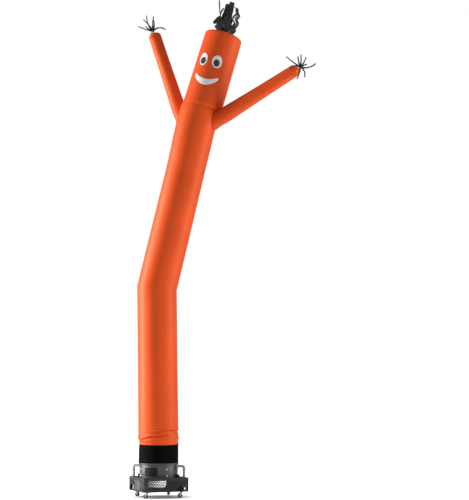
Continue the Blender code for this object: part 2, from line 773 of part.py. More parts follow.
def collar(parent):
    """Black sleeve over the tube's foot, slack at its lower left."""
    rows = ((COLLAR_LOW, 0.0055), (0.428, 0.0035), (0.460, 0.0012), (0.540, 0.0), (COLLAR_HIGH, 0.0))
    outer, inner = [], []
    for z, slack in rows:
        for rings, thick in ((outer, COLLAR_THICK), (inner, 0.0)):
            ring = []
            for i in range(TUBE_SIDES):
                azimuth = 360.0 * i / TUBE_SIDES - 180.0
                left = max(0.0, math.cos(math.radians(azimuth + 95.0)))
                radius = TUBE_LOW_R + GAP + thick + slack * (0.25 + 0.75 * left)
                ring.append(on_ring(Vector((0, 0, z)), 0.0, azimuth, radius))
            rings.append(ring)
    return wall("collar", outer, inner, "black_cloth", parent)


# Blower

def drum(parent):
    foot = BOX_TOP + GAP
    inner = DRUM_R - DRUM_WALL
    turned("drum", [(DRUM_R, foot), (DRUM_R, DRUM_TOP), (inner, DRUM_TOP), (inner, foot)], 48,
           "grey_powder_coat", parent)
    low = DRUM_TOP + GAP
    turned("flange", [(FLANGE_R, low), (FLANGE_R, FLANGE_TOP), (0.215, FLANGE_TOP), (0.215, low)], 48,
           "grey_powder_coat", parent)
    low = FLANGE_TOP + GAP
    turned("band", [(BAND_R, low), (BAND_R, BAND_TOP), (0.218, BAND_TOP), (0.218, low)], 48,
           "black_enamel", parent)


def grille(parent):
    """Outlet rim with its guard: rings, spokes and a round plate in the middle."""
    low = BAND_TOP + GAP
    rim = turned("outlet_grille", [(RIM_R, low), (RIM_R, RIM_TOP), (0.217, RIM_TOP), (0.217, low)], 48,
                 "black_enamel", parent)
    bar = 0.0035
    level = RIM_TOP - 0.014
    for k in range(3):
        start = heading(60.0 * k)
        side = Vector((0, 0, 1)).cross(start)
        outline = [(-0.221, -bar), (0.221, -bar), (0.221, bar), (-0.221, bar)]
        spoke = prism("spoke_%d" % k, outline, level - bar, level + bar, None, parent,
                      (Vector(), start, side))
        boolean(rim, spoke, "UNION")
    for k, radius in enumerate((0.118, 0.170)):
        profile = [(radius - 0.002, level - 0.002), (radius + 0.002, level - 0.002),
                   (radius + 0.002, level + 0.002), (radius - 0.002, level + 0.002)]
        boolean(rim, turned("guard_%d" % k, profile, 24, None, parent), "UNION")
    outline = [(0.062 * math.cos(math.pi * i / 12), 0.062 * math.sin(math.pi * i / 12)) for i in range(24)]
    boolean(rim, prism("hub_plate", outline, level - 0.005, level + 0.006, None, parent), "UNION")


def motor(parent):
    """Motor can that hangs under the guard's middle."""
    high = RIM_TOP - 0.014 - 0.005 - GAP
    profile = [(0.040, 0.262), (0.082, 0.272), (0.082, 0.430), (0.050, 0.445), (0.050, high)]
    sides = 20
    verts = [heading(360.0 * i / sides) * r + Vector((0, 0, z)) for r, z in profile for i in range(sides)]
    index = [[k * sides + i for i in range(sides)] for k in range(len(profile))]
    faces = stitch(index, closed=False) + [tuple(index[0]), tuple(index[-1])]
    return make("motor", verts, faces, "grey_powder_coat", parent)


def box(parent):
    """Square base box of sheet steel, open below, with arch openings and the air inlet. In this frame its
    near corner points to the front."""
    sides = rounded_square(BOX_SIDE, BOX_CORNER_R)
    inner = rounded_square(BOX_SIDE - 2 * BOX_WALL, BOX_CORNER_R - BOX_WALL)
    turn = Matrix.Rotation(math.radians(45.0), 3, "Z")
    rings = []
    for outline, z in ((inner, BOX_BOTTOM), (sides, BOX_BOTTOM), (sides, BOX_TOP)):
        rings.append([turn @ Vector((x, y, z)) for x, y in outline])
    lid = [turn @ Vector((x, y, BOX_TOP - BOX_WALL)) for x, y in inner]
    n = len(sides)
    verts = [p for ring in rings for p in ring] + lid
    index = [[k * n + i for i in range(n)] for k in range(4)]
    faces = stitch(index[:3], closed=False) + stitch([index[3], index[0]], closed=False)
    faces += [tuple(index[2]), tuple(index[3])]
    shell = make("base_box", verts, faces, "grey_powder_coat", parent, smooth=False)
    hole = [(BOX_HOLE_R * math.cos(math.pi * i / 24), BOX_HOLE_R * math.sin(math.pi * i / 24))
            for i in range(48)]
    boolean(shell, prism("box_hole", hole, BOX_TOP - 0.02, BOX_TOP + 0.02, None, parent), "DIFFERENCE")
    up = Vector((0, 0, 1))
    half = BOX_SIDE / 2
    for k, azimuth in enumerate((0.0, 180.0)):
        out = heading(azimuth)
        cut = prism("corner_arch_%d" % k, arch(CORNER_ARCH_WIDTH, ARCH_FOOT, ARCH_HEIGHT), 0.28, 0.45, None,
                    parent, (Vector(), up.cross(out), up))
        boolean(shell, cut, "DIFFERENCE")
    for k, (azimuth, end) in enumerate(((45.0, 1), (135.0, -1), (225.0, 1), (315.0, -1))):
        out = heading(azimuth)
        across = up.cross(out)
        frame = (across * (end * (half - ARCH_FROM_CORNER)), across, up)
        cut = prism("side_arch_%d" % k, arch(ARCH_WIDTH, ARCH_FOOT, ARCH_HEIGHT), half - 0.03, half + 0.03,
                    None, parent, frame)
        boolean(shell, cut, "DIFFERENCE")
    middle = (INLET_LOW + INLET_HIGH) / 2
    outline = square(INLET_WIDTH / 2, (INLET_HIGH - INLET_LOW) / 2, INLET_SHIFT, middle)
    for name, azimuth, _, _ in INLETS:
        out = heading(azimuth)
        inlet = prism("inlet_cut" + name, outline, half - 0.02, half + 0.02, None, parent,
                      (Vector(), up.cross(out), up))
        boolean(shell, inlet, "DIFFERENCE")
    return shell


def floor_plate(parent):
    """Plate that closes the box below and carries the casters."""
    side = BOX_SIDE - 2 * BOX_WALL - 2 * GAP
    turn = Matrix.Rotation(math.radians(45.0), 3, "Z")
    outline = [tuple((turn @ Vector((x, y, 0)))[:2]) for x, y in rounded_square(side, BOX_CORNER_R - BOX_WALL)]
    plate = prism("floor_plate", outline, BOX_BOTTOM, BOX_BOTTOM + FLOOR_PLATE, "grey_powder_coat", parent)
    return plate


def handles(parent):
    """Flat-sided tubes from the flange out and down to the box, over a short block beside the drum."""
    start = FLANGE_R + GAP
    centre_z = HANDLE_TOP - HANDLE_DEEP / 2
    bend = HANDLE_BEND
    for name, azimuth in (("right", 90.0), ("left", -90.0)):
        out = heading(azimuth)
        side = Vector((0, 0, 1)).cross(out)
        path = [(start, centre_z, 0.0)]
        for k in range(7):
            a = math.pi / 2 * k / 6
            path.append((HANDLE_LEG_R - bend + bend * math.sin(a), centre_z - bend + bend * math.cos(a), a))
        path.append((HANDLE_LEG_R, BOX_TOP + GAP, math.pi / 2))
        verts = []
        for r, z, a in path:
            over = out * math.sin(a) + Vector((0, 0, 1)) * math.cos(a)
            centre = out * r + Vector((0, 0, z))
            for u, v in ((-1, -1), (1, -1), (1, 1), (-1, 1)):
                verts.append(centre + side * (u * HANDLE_WIDE / 2) + over * (v * HANDLE_DEEP / 2))
        index = [[4 * k + i for i in range(4)] for k in range(len(path))]
        faces = stitch(index, closed=False) + [tuple(index[0]), tuple(index[-1])]
        make("handle_" + name, verts, faces, "grey_powder_coat", parent, smooth=False)
        near, far = DRUM_R + GAP, DRUM_R + 0.042
        outline = [(near, -0.017), (far, -0.017), (far, 0.017), (near, 0.017)]
        prism("block_" + name, outline, BOX_TOP + GAP, BOX_TOP + 0.034, "black_enamel", parent,
              (Vector(), out, side))


def label(parent):
    """Bare dark plate bent round the drum."""
    columns = 10
    turn = LABEL_TURN - BOX_TURN
    verts = []
    for lift in (0.0005, 0.0020):
        for c in range(columns + 1):
            out = heading(turn + LABEL_HALF_ANGLE * (2 * c / columns - 1))
            for z in (LABEL_LOW, LABEL_HIGH):
                verts.append(out * (DRUM_R + lift) + Vector((0, 0, z)))
    m = 2 * (columns + 1)
    faces = []
    for c in range(columns):
        a, b = 2 * c, 2 * c + 2
        faces += [(a, b, b + 1, a + 1), (m + a, m + b, m + b + 1, m + a + 1)]
        faces += [(a, b, m + b, m + a), (a + 1, b + 1, m + b + 1, m + a + 1)]
    for a in (0, 2 * columns):
        faces.append((a, a + 1, m + a + 1, m + a))
    return make("label_plate", verts, faces, "black_enamel", parent)


def bolts(parent):
    """Hexagon heads in pairs, one pair over the middle of each side of the box."""
    for k, azimuth in enumerate((45.0, 135.0, 225.0, 315.0)):
        out = heading(azimuth + BOLT_TURN)
        up = Vector((0, 0, 1))
        for level, z in zip(("low", "high"), BOLT_HEIGHTS):
            outline = [(0.012 * math.cos(math.pi * i / 3), 0.012 * math.sin(math.pi * i / 3)) for i in range(6)]
            prism("bolt_%d_%s" % (k + 1, level), outline, DRUM_R + GAP, DRUM_R + 0.0085, "zinc", parent,
                  (Vector((0, 0, z)), up.cross(out), up))


def inlet_guide(ending, azimuth, bend_foot, bend_top, parent):
    """Plate riveted behind the edge of an air inlet, from where it curves into the box."""
    out = heading(azimuth)
    up = Vector((0, 0, 1))
    across = up.cross(out)
    low, high = BOX_BOTTOM + FLOOR_PLATE + GAP, BOX_TOP - BOX_WALL - GAP
    start = INLET_SHIFT - INLET_WIDTH / 2 - 0.018
    surface = BOX_SIDE / 2 - BOX_WALL - GAP
    thick, bend_r, flat, steps = 0.0015, 0.260, 0.034, 8
    verts = []
    for side in (0.0, thick):
        for k in range(-1, steps + 1):
            for z, bend in ((low, bend_foot), (high, bend_top)):
                a = math.radians(bend) * max(0, k) / steps
                along = start + (flat if k >= 0 else 0.0) + bend_r * math.sin(a)
                inward = bend_r * (1.0 - math.cos(a))
                point = across * (along - side * math.sin(a)) + out * (surface - inward - side * math.cos(a))
                verts.append(point + up * z)
    m = 2 * (steps + 2)
    faces = []
    for c in range(steps + 1):
        a, b = 2 * c, 2 * c + 2
        faces += [(a, b, b + 1, a + 1), (m + a, m + b, m + b + 1, m + a + 1)]
        faces += [(a, b, m + b, m + a), (a + 1, b + 1, m + b + 1, m + a + 1)]
    for a in (0, m - 2):
        faces.append((a, a + 1, m + a + 1, m + a))
    make("inlet_guide" + ending, verts, faces, "grey_powder_coat", parent)
    for level, z in (("low", INLET_LOW + 0.014), ("high", INLET_HIGH - 0.014)):
        outline = [(0.006 * math.cos(math.pi * i / 4), 0.006 * math.sin(math.pi * i / 4)) for i in range(8)]
        seat = across * (start + flat - 0.008) + up * z
        prism("rivet%s_%s" % (ending, level), outline, surface + GAP, surface + 0.0035, "zinc", parent,
              (seat, across, up))


def square(half_x, half_y, middle_x=0.0, middle_y=0.0):
    return [(middle_x + x * half_x, middle_y + y * half_y) for x, y in ((-1, -1), (1, -1), (1, 1), (-1, 1))]


def hexagon(radius):
    return [(radius * math.cos(math.pi * i / 3), radius * math.sin(math.pi * i / 3)) for i in range(6)]


def caster(name, diagonal, trail_azimuth, parent):
    """Plate and nut that stay with the box, a fork that swivels on a vertical pivot, and its wheel."""
    spot = heading(diagonal) * CASTER_R
    fixed = empty("caster_%s_seat" % name, parent, spot)
    plate_low = BOX_BOTTOM - GAP - 0.004
    prism("caster_plate_" + name, square(0.021, 0.021), plate_low, BOX_BOTTOM - GAP, "zinc", fixed)
    nut_low = BOX_BOTTOM + FLOOR_PLATE + GAP
    prism("caster_nut_" + name, hexagon(0.009), nut_low, nut_low + 0.009, "zinc", fixed)
    swivel = empty("caster_%s_swivel" % name, parent, spot, trail_azimuth - BOX_TURN)
    # in the swivel's frame the fork trails towards -Y
    crown_high = plate_low - GAP
    crown_low = crown_high - 0.0045
    leg_in = WHEEL_WIDE / 2 + 0.0008
    leg_out = leg_in + 0.0025
    fork = prism("fork_" + name, square(leg_out, 0.016, 0.0, -0.005), crown_low, crown_high, "zinc", swivel)
    for side in (-1, 1):
        frame = (Vector(), Vector((0, -1, 0)), Vector((0, 0, 1)))
        outline = [(-0.009, crown_low + 0.001), (CASTER_TRAIL - 0.006, WHEEL_R - 0.004),
                   (CASTER_TRAIL, WHEEL_R - 0.008), (CASTER_TRAIL + 0.006, WHEEL_R - 0.004),
                   (CASTER_TRAIL + 0.001, crown_low + 0.001)]
        low, high = sorted((side * leg_in, side * leg_out))
        leg = prism("leg_%s_%d" % (name, side), outline, low, high, None, swivel, frame)
        boolean(fork, leg, "UNION")
    pin = turned_pin("axle_" + name, AXLE_R, leg_in + 0.001, (0, -CASTER_TRAIL, WHEEL_R), swivel)
    boolean(fork, pin, "UNION")
    axle = empty("caster_%s_axle" % name, swivel, (0, -CASTER_TRAIL, WHEEL_R))
    half = WHEEL_WIDE / 2
    bore = AXLE_R + GAP
    profile = [(WHEEL_R - 0.002, -half), (WHEEL_R, -half + 0.003), (WHEEL_R, half - 0.003),
               (WHEEL_R - 0.002, half), (bore, half), (bore, -half)]
    turned("wheel_" + name, profile, 20, "black_rubber", axle, axis=(1, 0, 0))


def turned_pin(name, radius, half, centre, parent):
    verts = []
    for x in (-half, half):
        for i in range(10):
            a = 2 * math.pi * i / 10
            verts.append(Vector(centre) + Vector((x, radius * math.cos(a), radius * math.sin(a))))
    faces = stitch([list(range(10)), list(range(10, 20))], closed=False)
    faces += [tuple(range(10)), tuple(range(10, 20))]
    return make(name, verts, faces, None, parent, smooth=False)


def main():
    for old in list(bpy.data.objects):
        bpy.data.objects.remove(old, do_unlink=True)
    place = empty("blower_axis", None, (BLOWER_X, BLOWER_Y, 0.0))
    turned_box = empty("blower_turn", place, turn=BOX_TURN)

    drum(turned_box)
    grille(turned_box)
    motor(turned_box)
    box(turned_box)
    floor_plate(turned_box)
    handles(turned_box)
    label(turned_box)
    bolts(turned_box)
    for row in INLETS:
        inlet_guide(*row, turned_box)
    for row in CASTERS:
        caster(*row, turned_box)

    tube_body(place)
    head(place)
    for row in FACE_DISCS:
        face_disc(*row, place)
    mouth(place)
    for row, strands, name in zip(ARMS, (FRINGE_RIGHT, FRINGE_LEFT), ("fringe_right", "fringe_left")):
        arm(row, place)
        root, wrist, _, _ = arm_axis(row)
        axis = (wrist - root).normalized()
        tip = wrist + axis * WRIST_END
        fringe(name, tip + axis * GAP, axis, strands, place)
    hair(place)
    collar(place)


main()
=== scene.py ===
import math

import bmesh
import bpy
import numpy as np
from mathutils import Matrix, Vector


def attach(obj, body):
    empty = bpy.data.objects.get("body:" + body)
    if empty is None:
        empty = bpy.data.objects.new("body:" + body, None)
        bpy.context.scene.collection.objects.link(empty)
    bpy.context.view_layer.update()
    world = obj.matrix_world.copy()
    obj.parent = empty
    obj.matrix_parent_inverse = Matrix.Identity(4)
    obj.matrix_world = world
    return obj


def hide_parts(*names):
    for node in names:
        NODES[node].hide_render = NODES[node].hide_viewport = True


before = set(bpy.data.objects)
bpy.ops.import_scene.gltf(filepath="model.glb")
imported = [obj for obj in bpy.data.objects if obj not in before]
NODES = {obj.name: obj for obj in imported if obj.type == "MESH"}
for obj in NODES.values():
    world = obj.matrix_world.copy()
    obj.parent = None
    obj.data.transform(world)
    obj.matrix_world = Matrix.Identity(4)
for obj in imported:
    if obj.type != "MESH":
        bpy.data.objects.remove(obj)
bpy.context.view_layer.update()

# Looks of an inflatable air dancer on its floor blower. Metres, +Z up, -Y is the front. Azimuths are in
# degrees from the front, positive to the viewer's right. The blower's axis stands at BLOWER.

BODY = "dancer_and_blower"
BLOWER = np.array([-0.790, 0.104, 0.0])
CLOTH = 0.0012

# The shapes' sizes, the same as in the CAD part
TUBE_R, TUBE_LOW_R, TUBE_FOOT = 0.2424, 0.2336, 0.4135
TUBE_SHIFT, SHOULDER = -0.0044, 0.011
LOWER_START, LOWER_LEAN, LOWER_LENGTH = 0.620, -1.0, 1.917
UPPER_LEAN, UPPER_LENGTH, NECK_SKEW = 13.1, 2.330, 0.012
HEAD_LEAN, HEAD_SHIFT, HEAD_LENGTH = 16.2, 0.0184, 0.986
HEAD_LOW_R, HEAD_HIGH_R, HEAD_DOME = 0.250, 0.2385, 0.028
COLLAR_RUN = LOWER_START - TUBE_FOOT
BEND = COLLAR_RUN + LOWER_LENGTH
NECK = BEND + UPPER_LENGTH
COLLAR_LOW, COLLAR_HIGH = 0.4108, 0.618

# Folds of the tube's foot, by azimuth and height of both ends, depth inwards and half height
FOLDS = (
    (-100.0, 0.680, 30.0, 0.742, 0.007, 0.017),
    (-15.0, 0.772, 105.0, 0.782, 0.005, 0.014),
    (-25.0, 0.822, 10.0, 0.818, 0.003, 0.010),
    (60.0, 0.672, 130.0, 0.664, 0.006, 0.012),
    (140.0, 0.720, 250.0, 0.700, 0.008, 0.014),
    (150.0, 0.800, 215.0, 0.790, 0.005, 0.012),
)
# Sharp creases in those folds: (azimuth, height) along the line, depth, half height
CREASES = (
    (((-100, 0.680), (-87, 0.679), (-44, 0.696), (-21, 0.726), (-5, 0.729), (16, 0.742), (36, 0.752)), 0.017, 0.0085),
    (((-16, 0.772), (2, 0.784), (21, 0.802), (47, 0.794), (77, 0.788), (100, 0.784)), 0.016, 0.0085),
    (((-18, 0.832), (8, 0.826)), 0.005, 0.0075),
    (((-30, 0.654), (6, 0.655)), 0.004, 0.0060),
    (((2, 0.692), (32, 0.699)), 0.008, 0.0085),
    (((62, 0.690), (100, 0.684), (128, 0.672)), 0.007, 0.0070),
    (((136, 0.722), (180, 0.705), (220, 0.712), (252, 0.698)), 0.009, 0.0075),
    (((150, 0.806), (185, 0.790), (222, 0.796)), 0.006, 0.0070),
)

ARMS = {
    # root azimuth, below neck, wrist from the blower's axis, root radius, wrist radius
    "arm_right": (70.0, 0.118, (1.660, -0.440, 5.201), 0.098, 0.075),
    "arm_left": (-128.0, 0.164, (-0.100, 0.220, 5.820), 0.090, 0.079),
}
ARM_GAP = 0.0009
WRIST_CLOSING = ((-0.030, 1.0), (-0.016, 0.995), (-0.006, 0.98), (0.002, 0.94), (0.010, 0.88), (0.017, 0.77),
                 (0.024, 0.62), (0.030, 0.47), (0.036, 0.30), (0.042, 0.17))
WRIST_END = 0.050


# Materials

def start_material(name, slot, base, roughness, metallic=0.0, specular=0.5, sheen=0.0):
    """A Principled material. Numbers that are the same all over are set on the shader's own sockets."""
    made = bpy.data.materials.new(name)
    made.use_nodes = True
    tree = made.node_tree
    shader = tree.nodes["Principled BSDF"]
    shader.inputs["Base Color"].default_value = (*base, 1.0)
    shader.inputs["Roughness"].default_value = roughness
    shader.inputs["Metallic"].default_value = metallic
    shader.inputs["Specular IOR Level"].default_value = specular
    shader.inputs["Sheen Weight"].default_value = sheen
    shader.inputs["Sheen Roughness"].default_value = 0.45
    made.diffuse_color = (*base, 1.0)
    made["slot"] = slot
    return made, tree, shader


def node(tree, kind, values=None, **settings):
    made = tree.nodes.new("ShaderNode" + kind)
    for key, value in settings.items():
        setattr(made, key, value)
    for key, value in (values or {}).items():
        made.inputs[key].default_value = value
    return made


def sine(tree, source, axis, pitch):
    """Wave of a given pitch, from 0 to 1, along one axis of a coordinate."""
    split = node(tree, "SeparateXYZ")
    tree.links.new(source, split.inputs[0])
    scale = node(tree, "Math", {1: 2 * math.pi / pitch}, operation="MULTIPLY")
    tree.links.new(split.outputs[axis], scale.inputs[0])
    wave = node(tree, "Math", operation="SINE")
    tree.links.new(scale.outputs[0], wave.inputs[0])
    half = node(tree, "Math", {1: 0.5, 2: 0.5}, operation="MULTIPLY_ADD")
    tree.links.new(wave.outputs[0], half.inputs[0])
    return half.outputs[0]


def combine(tree, a, b, operation, third=None):
    made = node(tree, "Math", operation=operation)
    for k, value in enumerate((a, b, third)):
        if value is None:
            continue
        if isinstance(value, (int, float)):
            made.inputs[k].default_value = value
        else:
            tree.links.new(value, made.inputs[k])
    return made.outputs[0]


def ramp(tree, source, stops):
    made = node(tree, "ValToRGB")
    while len(made.color_ramp.elements) < len(stops):
        made.color_ramp.elements.new(0.5)
    for element, (place, colour) in zip(made.color_ramp.elements, stops):
        element.position = place
        element.color = (*colour, 1.0) if len(colour) == 3 else colour
    tree.links.new(source, made.inputs[0])
    return made.outputs[0]


def noise(tree, source, scale, detail=2.0, rough=0.5):
    made = node(tree, "TexNoise", {"Scale": scale, "Detail": detail, "Roughness": rough})
    tree.links.new(source, made.inputs["Vector"])
    return made.outputs["Fac"]


def bump(tree, shader, height, strength, distance):
    made = node(tree, "Bump", {"Strength": strength, "Distance": distance})
    tree.links.new(height, made.inputs["Height"])
    tree.links.new(made.outputs[0], shader.inputs["Normal"])
    return made


def shaded(base, share):
    return tuple(min(1.0, c * share) for c in base)


def woven(name, slot, base, roughness, specular, sheen, thread=0.0016, grid=0.008, tone=(0.90, 1.06),
          glint=(1.0, 1.0, 1.0)):
    """Woven cloth with the square reinforcing threads of ripstop, laid out by the cloth's own UV in metres."""
    made, tree, shader = start_material(name, slot, base, roughness, 0.0, specular, sheen)
    shader.inputs["Specular Tint"].default_value = (*glint, 1.0)
    uv = node(tree, "UVMap", uv_map="UVMap").outputs[0]
    place = node(tree, "TexCoord").outputs["Object"]
    plain = combine(tree, sine(tree, uv, 0, thread), sine(tree, uv, 1, thread), "MULTIPLY")
    lines = combine(tree, combine(tree, sine(tree, uv, 0, grid), 24.0, "POWER"),
                    combine(tree, sine(tree, uv, 1, grid), 24.0, "POWER"), "MAXIMUM")
    soft = noise(tree, place, 2.2, 3.0, 0.55)
    small = noise(tree, place, 55.0, 2.0, 0.6)
    weave = combine(tree, combine(tree, plain, 0.35, "MULTIPLY"), combine(tree, lines, 0.65, "MULTIPLY"), "ADD")
    height = combine(tree, weave, combine(tree, small, 0.8, "MULTIPLY"), "ADD")
    bump(tree, shader, height, 0.12, 0.0010)
    low, high = tone
    tint = ramp(tree, soft, ((0.30, shaded(base, low)), (0.70, shaded(base, high))))
    mix = node(tree, "MixRGB", {2: (*shaded(base, 1.12), 1.0)}, blend_type="MIX")
    tree.links.new(combine(tree, lines, 0.16, "MULTIPLY"), mix.inputs[0])
    tree.links.new(tint, mix.inputs[1])
    tree.links.new(mix.outputs[0], shader.inputs["Base Color"])
    rough = combine(tree, combine(tree, small, 0.14, "MULTIPLY"), roughness - 0.07, "ADD")
    tree.links.new(rough, shader.inputs["Roughness"])
    return made


def coated(name, slot, base, roughness, metallic=0.0, grain=700.0, depth=0.00010, wear=1.0, specular=0.5):
    """Powder coat or enamel: an orange-peel skin, a little dust and uneven gloss."""
    made, tree, shader = start_material(name, slot, base, roughness, metallic, specular)
    place = node(tree, "TexCoord").outputs["Object"]
    peel = noise(tree, place, grain, 2.0, 0.6)
    patch = noise(tree, place, 9.0, 4.0, 0.6)
    bump(tree, shader, peel, 0.35, depth)
    tint = ramp(tree, patch, ((0.30, shaded(base, 1.0 - 0.14 * wear)), (0.72, shaded(base, 1.0 + 0.16 * wear))))
    speck = node(tree, "MixRGB", {2: (*shaded(base, 1.5), 1.0)}, blend_type="MIX")
    fine = ramp(tree, noise(tree, place, 1400.0, 1.0), ((0.62, (0, 0, 0)), (0.75, (0.35, 0.35, 0.35))))
    tree.links.new(fine, speck.inputs[0])
    tree.links.new(tint, speck.inputs[1])
    tree.links.new(speck.outputs[0], shader.inputs["Base Color"])
    rough = combine(tree, combine(tree, patch, 0.16, "MULTIPLY"), roughness - 0.08, "ADD")
    tree.links.new(rough, shader.inputs["Roughness"])
    return made


def plated(name, slot, base, roughness):
    """Zinc plate with its faint clouded spangle."""
    made, tree, shader = start_material(name, slot, base, roughness, 1.0)
    place = node(tree, "TexCoord").outputs["Object"]
    cells = node(tree, "TexVoronoi", {"Scale": 180.0})
    tree.links.new(place, cells.inputs["Vector"])
    tint = ramp(tree, cells.outputs["Distance"], ((0.0, shaded(base, 0.86)), (0.7, shaded(base, 1.10))))
    tree.links.new(tint, shader.inputs["Base Color"])
    fine = noise(tree, place, 420.0, 2.0)
    rough = combine(tree, combine(tree, fine, 0.22, "MULTIPLY"), roughness - 0.11, "ADD")
    tree.links.new(rough, shader.inputs["Roughness"])
    bump(tree, shader, fine, 0.15, 0.00005)
    return made


ORANGE = (0.82, 0.092, 0.0175)
NYLON = woven("nylon_orange", "orange_nylon", ORANGE, 0.46, 0.34, 0.0, glint=(1.0, 0.52, 0.26))
FACE_WHITE = woven("cloth_white", "white_cloth", (0.86, 0.87, 0.90), 0.62, 0.3, 0.10, tone=(0.95, 1.04))
FACE_BLACK = woven("cloth_pupil", "black_cloth", (0.030, 0.032, 0.036), 0.55, 0.4, 0.25)
STRIP_BLACK = woven("cloth_strips", "black_cloth", (0.016, 0.017, 0.019), 0.42, 0.5, 0.20, thread=0.0014, grid=0.006)
SLEEVE_BLACK = woven("cloth_sleeve", "black_cloth", (0.0022, 0.0022, 0.0025), 0.74, 0.045, 0.0, thread=0.0024,
                     grid=0.012)
GREY = coated("powder_grey", "grey_powder_coat", (0.078, 0.078, 0.075), 0.46, 0.2)
BOX_GREY = coated("powder_dark", "grey_powder_coat", (0.026, 0.026, 0.026), 0.46, 0.2)
SATIN = coated("powder_satin", "grey_powder_coat", (0.40, 0.40, 0.39), 0.42, 0.2)
BLACK = coated("enamel_black", "black_enamel", (0.010, 0.010, 0.011), 0.36, 0.1, grain=420.0)
PLATE = coated("plate_black", "black_enamel", (0.008, 0.007, 0.010), 0.50, 0.0, grain=900.0, depth=0.00003,
               specular=0.25)
ZINC = plated("zinc", "zinc", (0.58, 0.60, 0.61), 0.34)
RUBBER = coated("rubber_black", "black_rubber", (0.014, 0.014, 0.014), 0.62, 0.0, grain=900.0, depth=0.00012)
HUB = coated("hub_grey", "black_rubber", (0.15, 0.15, 0.155), 0.45, 0.0, grain=900.0, depth=0.00005)


# Meshes

def finish_piece(mesh, name, material, body, replaced, sharp=None):
    materials = material if isinstance(material, (list, tuple)) else [material]
    for m in materials:
        mesh.materials.append(m)
    obj = bpy.data.objects.new(name, mesh)
    bpy.context.scene.collection.objects.link(obj)
    mesh.shade_smooth()
    if sharp:
        mesh.set_sharp_from_angle(angle=math.radians(sharp))
    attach(obj, body)
    if replaced:
        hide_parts(*replaced)
    return obj


def skin(name, points, uv, material, replaced, apex=None, thick=CLOTH, wraps=True):
    """A cloth surface from rows of points, which wrap round. uv has one more column than points where they
    do. apex closes the last row. Solidify gives it the cloth's thickness, inwards."""
    rows, cols = points.shape[:2]
    verts = points.reshape(-1, 3).tolist()
    faces, corners = [], []
    for r in range(rows - 1):
        for c in range(cols if wraps else cols - 1):
            d = (c + 1) % cols
            faces.append((r * cols + c, r * cols + d, (r + 1) * cols + d, (r + 1) * cols + c))
            corners += [uv[r, c], uv[r, c + 1], uv[r + 1, c + 1], uv[r + 1, c]]
    if apex is not None:
        verts.append(list(apex))
        r = rows - 1
        middle = uv[r].mean(axis=0) + np.array([0.0, 0.05])
        for c in range(cols):
            faces.append((r * cols + c, r * cols + (c + 1) % cols, len(verts) - 1))
            corners += [uv[r, c], uv[r, c + 1], middle]
    mesh = bpy.data.meshes.new(name)
    mesh.from_pydata(verts, [], faces)
    layer = mesh.uv_layers.new(name="UVMap")
    layer.data.foreach_set("uv", np.array(corners, np.float32).reshape(-1))
    mesh.update()
    obj = finish_piece(mesh, name, material, BODY, replaced)
    solid = obj.modifiers.new("thickness", "SOLIDIFY")
    solid.thickness = thick
    solid.offset = -1.0
    return obj


def smooth_step(value, low, high):
    t = np.clip((value - low) / (high - low), 0.0, 1.0)
    return t * t * (3.0 - 2.0 * t)


def bell(value, middle, half):
    return np.exp(-((value - middle) / half) ** 2)


def spine(distance):
    """Centre of the tube, from the blower's axis, at each distance along it from its foot."""
    distance = np.asarray(distance, float)
    point = np.zeros(distance.shape + (3,))
    point[..., 2] = TUBE_FOOT + np.minimum(distance, COLLAR_RUN)
    point[..., 0] = TUBE_SHIFT * np.clip((distance - COLLAR_RUN) / 0.060, 0.0, 1.0)
    for lean, start, length in ((LOWER_LEAN, COLLAR_RUN, LOWER_LENGTH), (UPPER_LEAN, BEND, UPPER_LENGTH),
                                (HEAD_LEAN, NECK, HEAD_LENGTH)):
        run = np.clip(distance - start, 0.0, length)
        point[..., 0] += math.sin(math.radians(lean)) * run
        point[..., 2] += math.cos(math.radians(lean)) * run
    return point


def on_ring(centre, lean, azimuth, radius, lift=0.0):
    """Points of rings whose axes lean to the right by lean degrees."""
    tilt, a = np.radians(lean), np.radians(azimuth)
    out = np.array(np.broadcast_arrays(
        np.cos(tilt) * radius * np.sin(a) + np.sin(tilt) * lift,
        -radius * np.cos(a),
        -np.sin(tilt) * radius * np.sin(a) + np.cos(tilt) * lift))
    return centre + np.moveaxis(out, 0, -1)


def fold_depth(azimuth, z):
    """How far the folds and creases at the tube's foot draw its surface in."""
    deep = np.zeros(np.broadcast(azimuth, z).shape)
    for from_az, from_z, to_az, to_z, depth, half in FOLDS:
        for turn in (-360.0, 0.0, 360.0):
            along = (azimuth + turn - from_az) / (to_az - from_az)
            fade = np.clip(np.minimum((along + 0.2) / 0.3, (1.2 - along) / 0.3), 0.0, 1.0)
            deep += depth * fade * bell(z, from_z + (to_z - from_z) * along, half)
    for line, depth, half in CREASES:
        azimuths, heights = np.array(line, float).T
        for turn in (-360.0, 0.0, 360.0):
            a = azimuth + turn
            level = np.interp(a, azimuths, heights)
            fade = smooth_step(a, azimuths[0] - 4, azimuths[0] + 14) * smooth_step(-a, -azimuths[-1] - 4,
                                                                                   -azimuths[-1] + 14)
            under, over = bell(z, level, half), bell(z, level + 2.0 * half, 1.5 * half)
            deep += fade * (depth * under - 0.45 * depth * over)
    return deep


def shoulder(distance, azimuth):
    """How far the left arm's root draws the tube out."""
    left = np.maximum(0.0, -np.sin(np.radians(azimuth)))
    below = np.maximum(0.0, NECK - distance)
    return SHOULDER * left * bell(below, 0.30, 0.30) * (1.0 - np.exp(-below / 0.05))


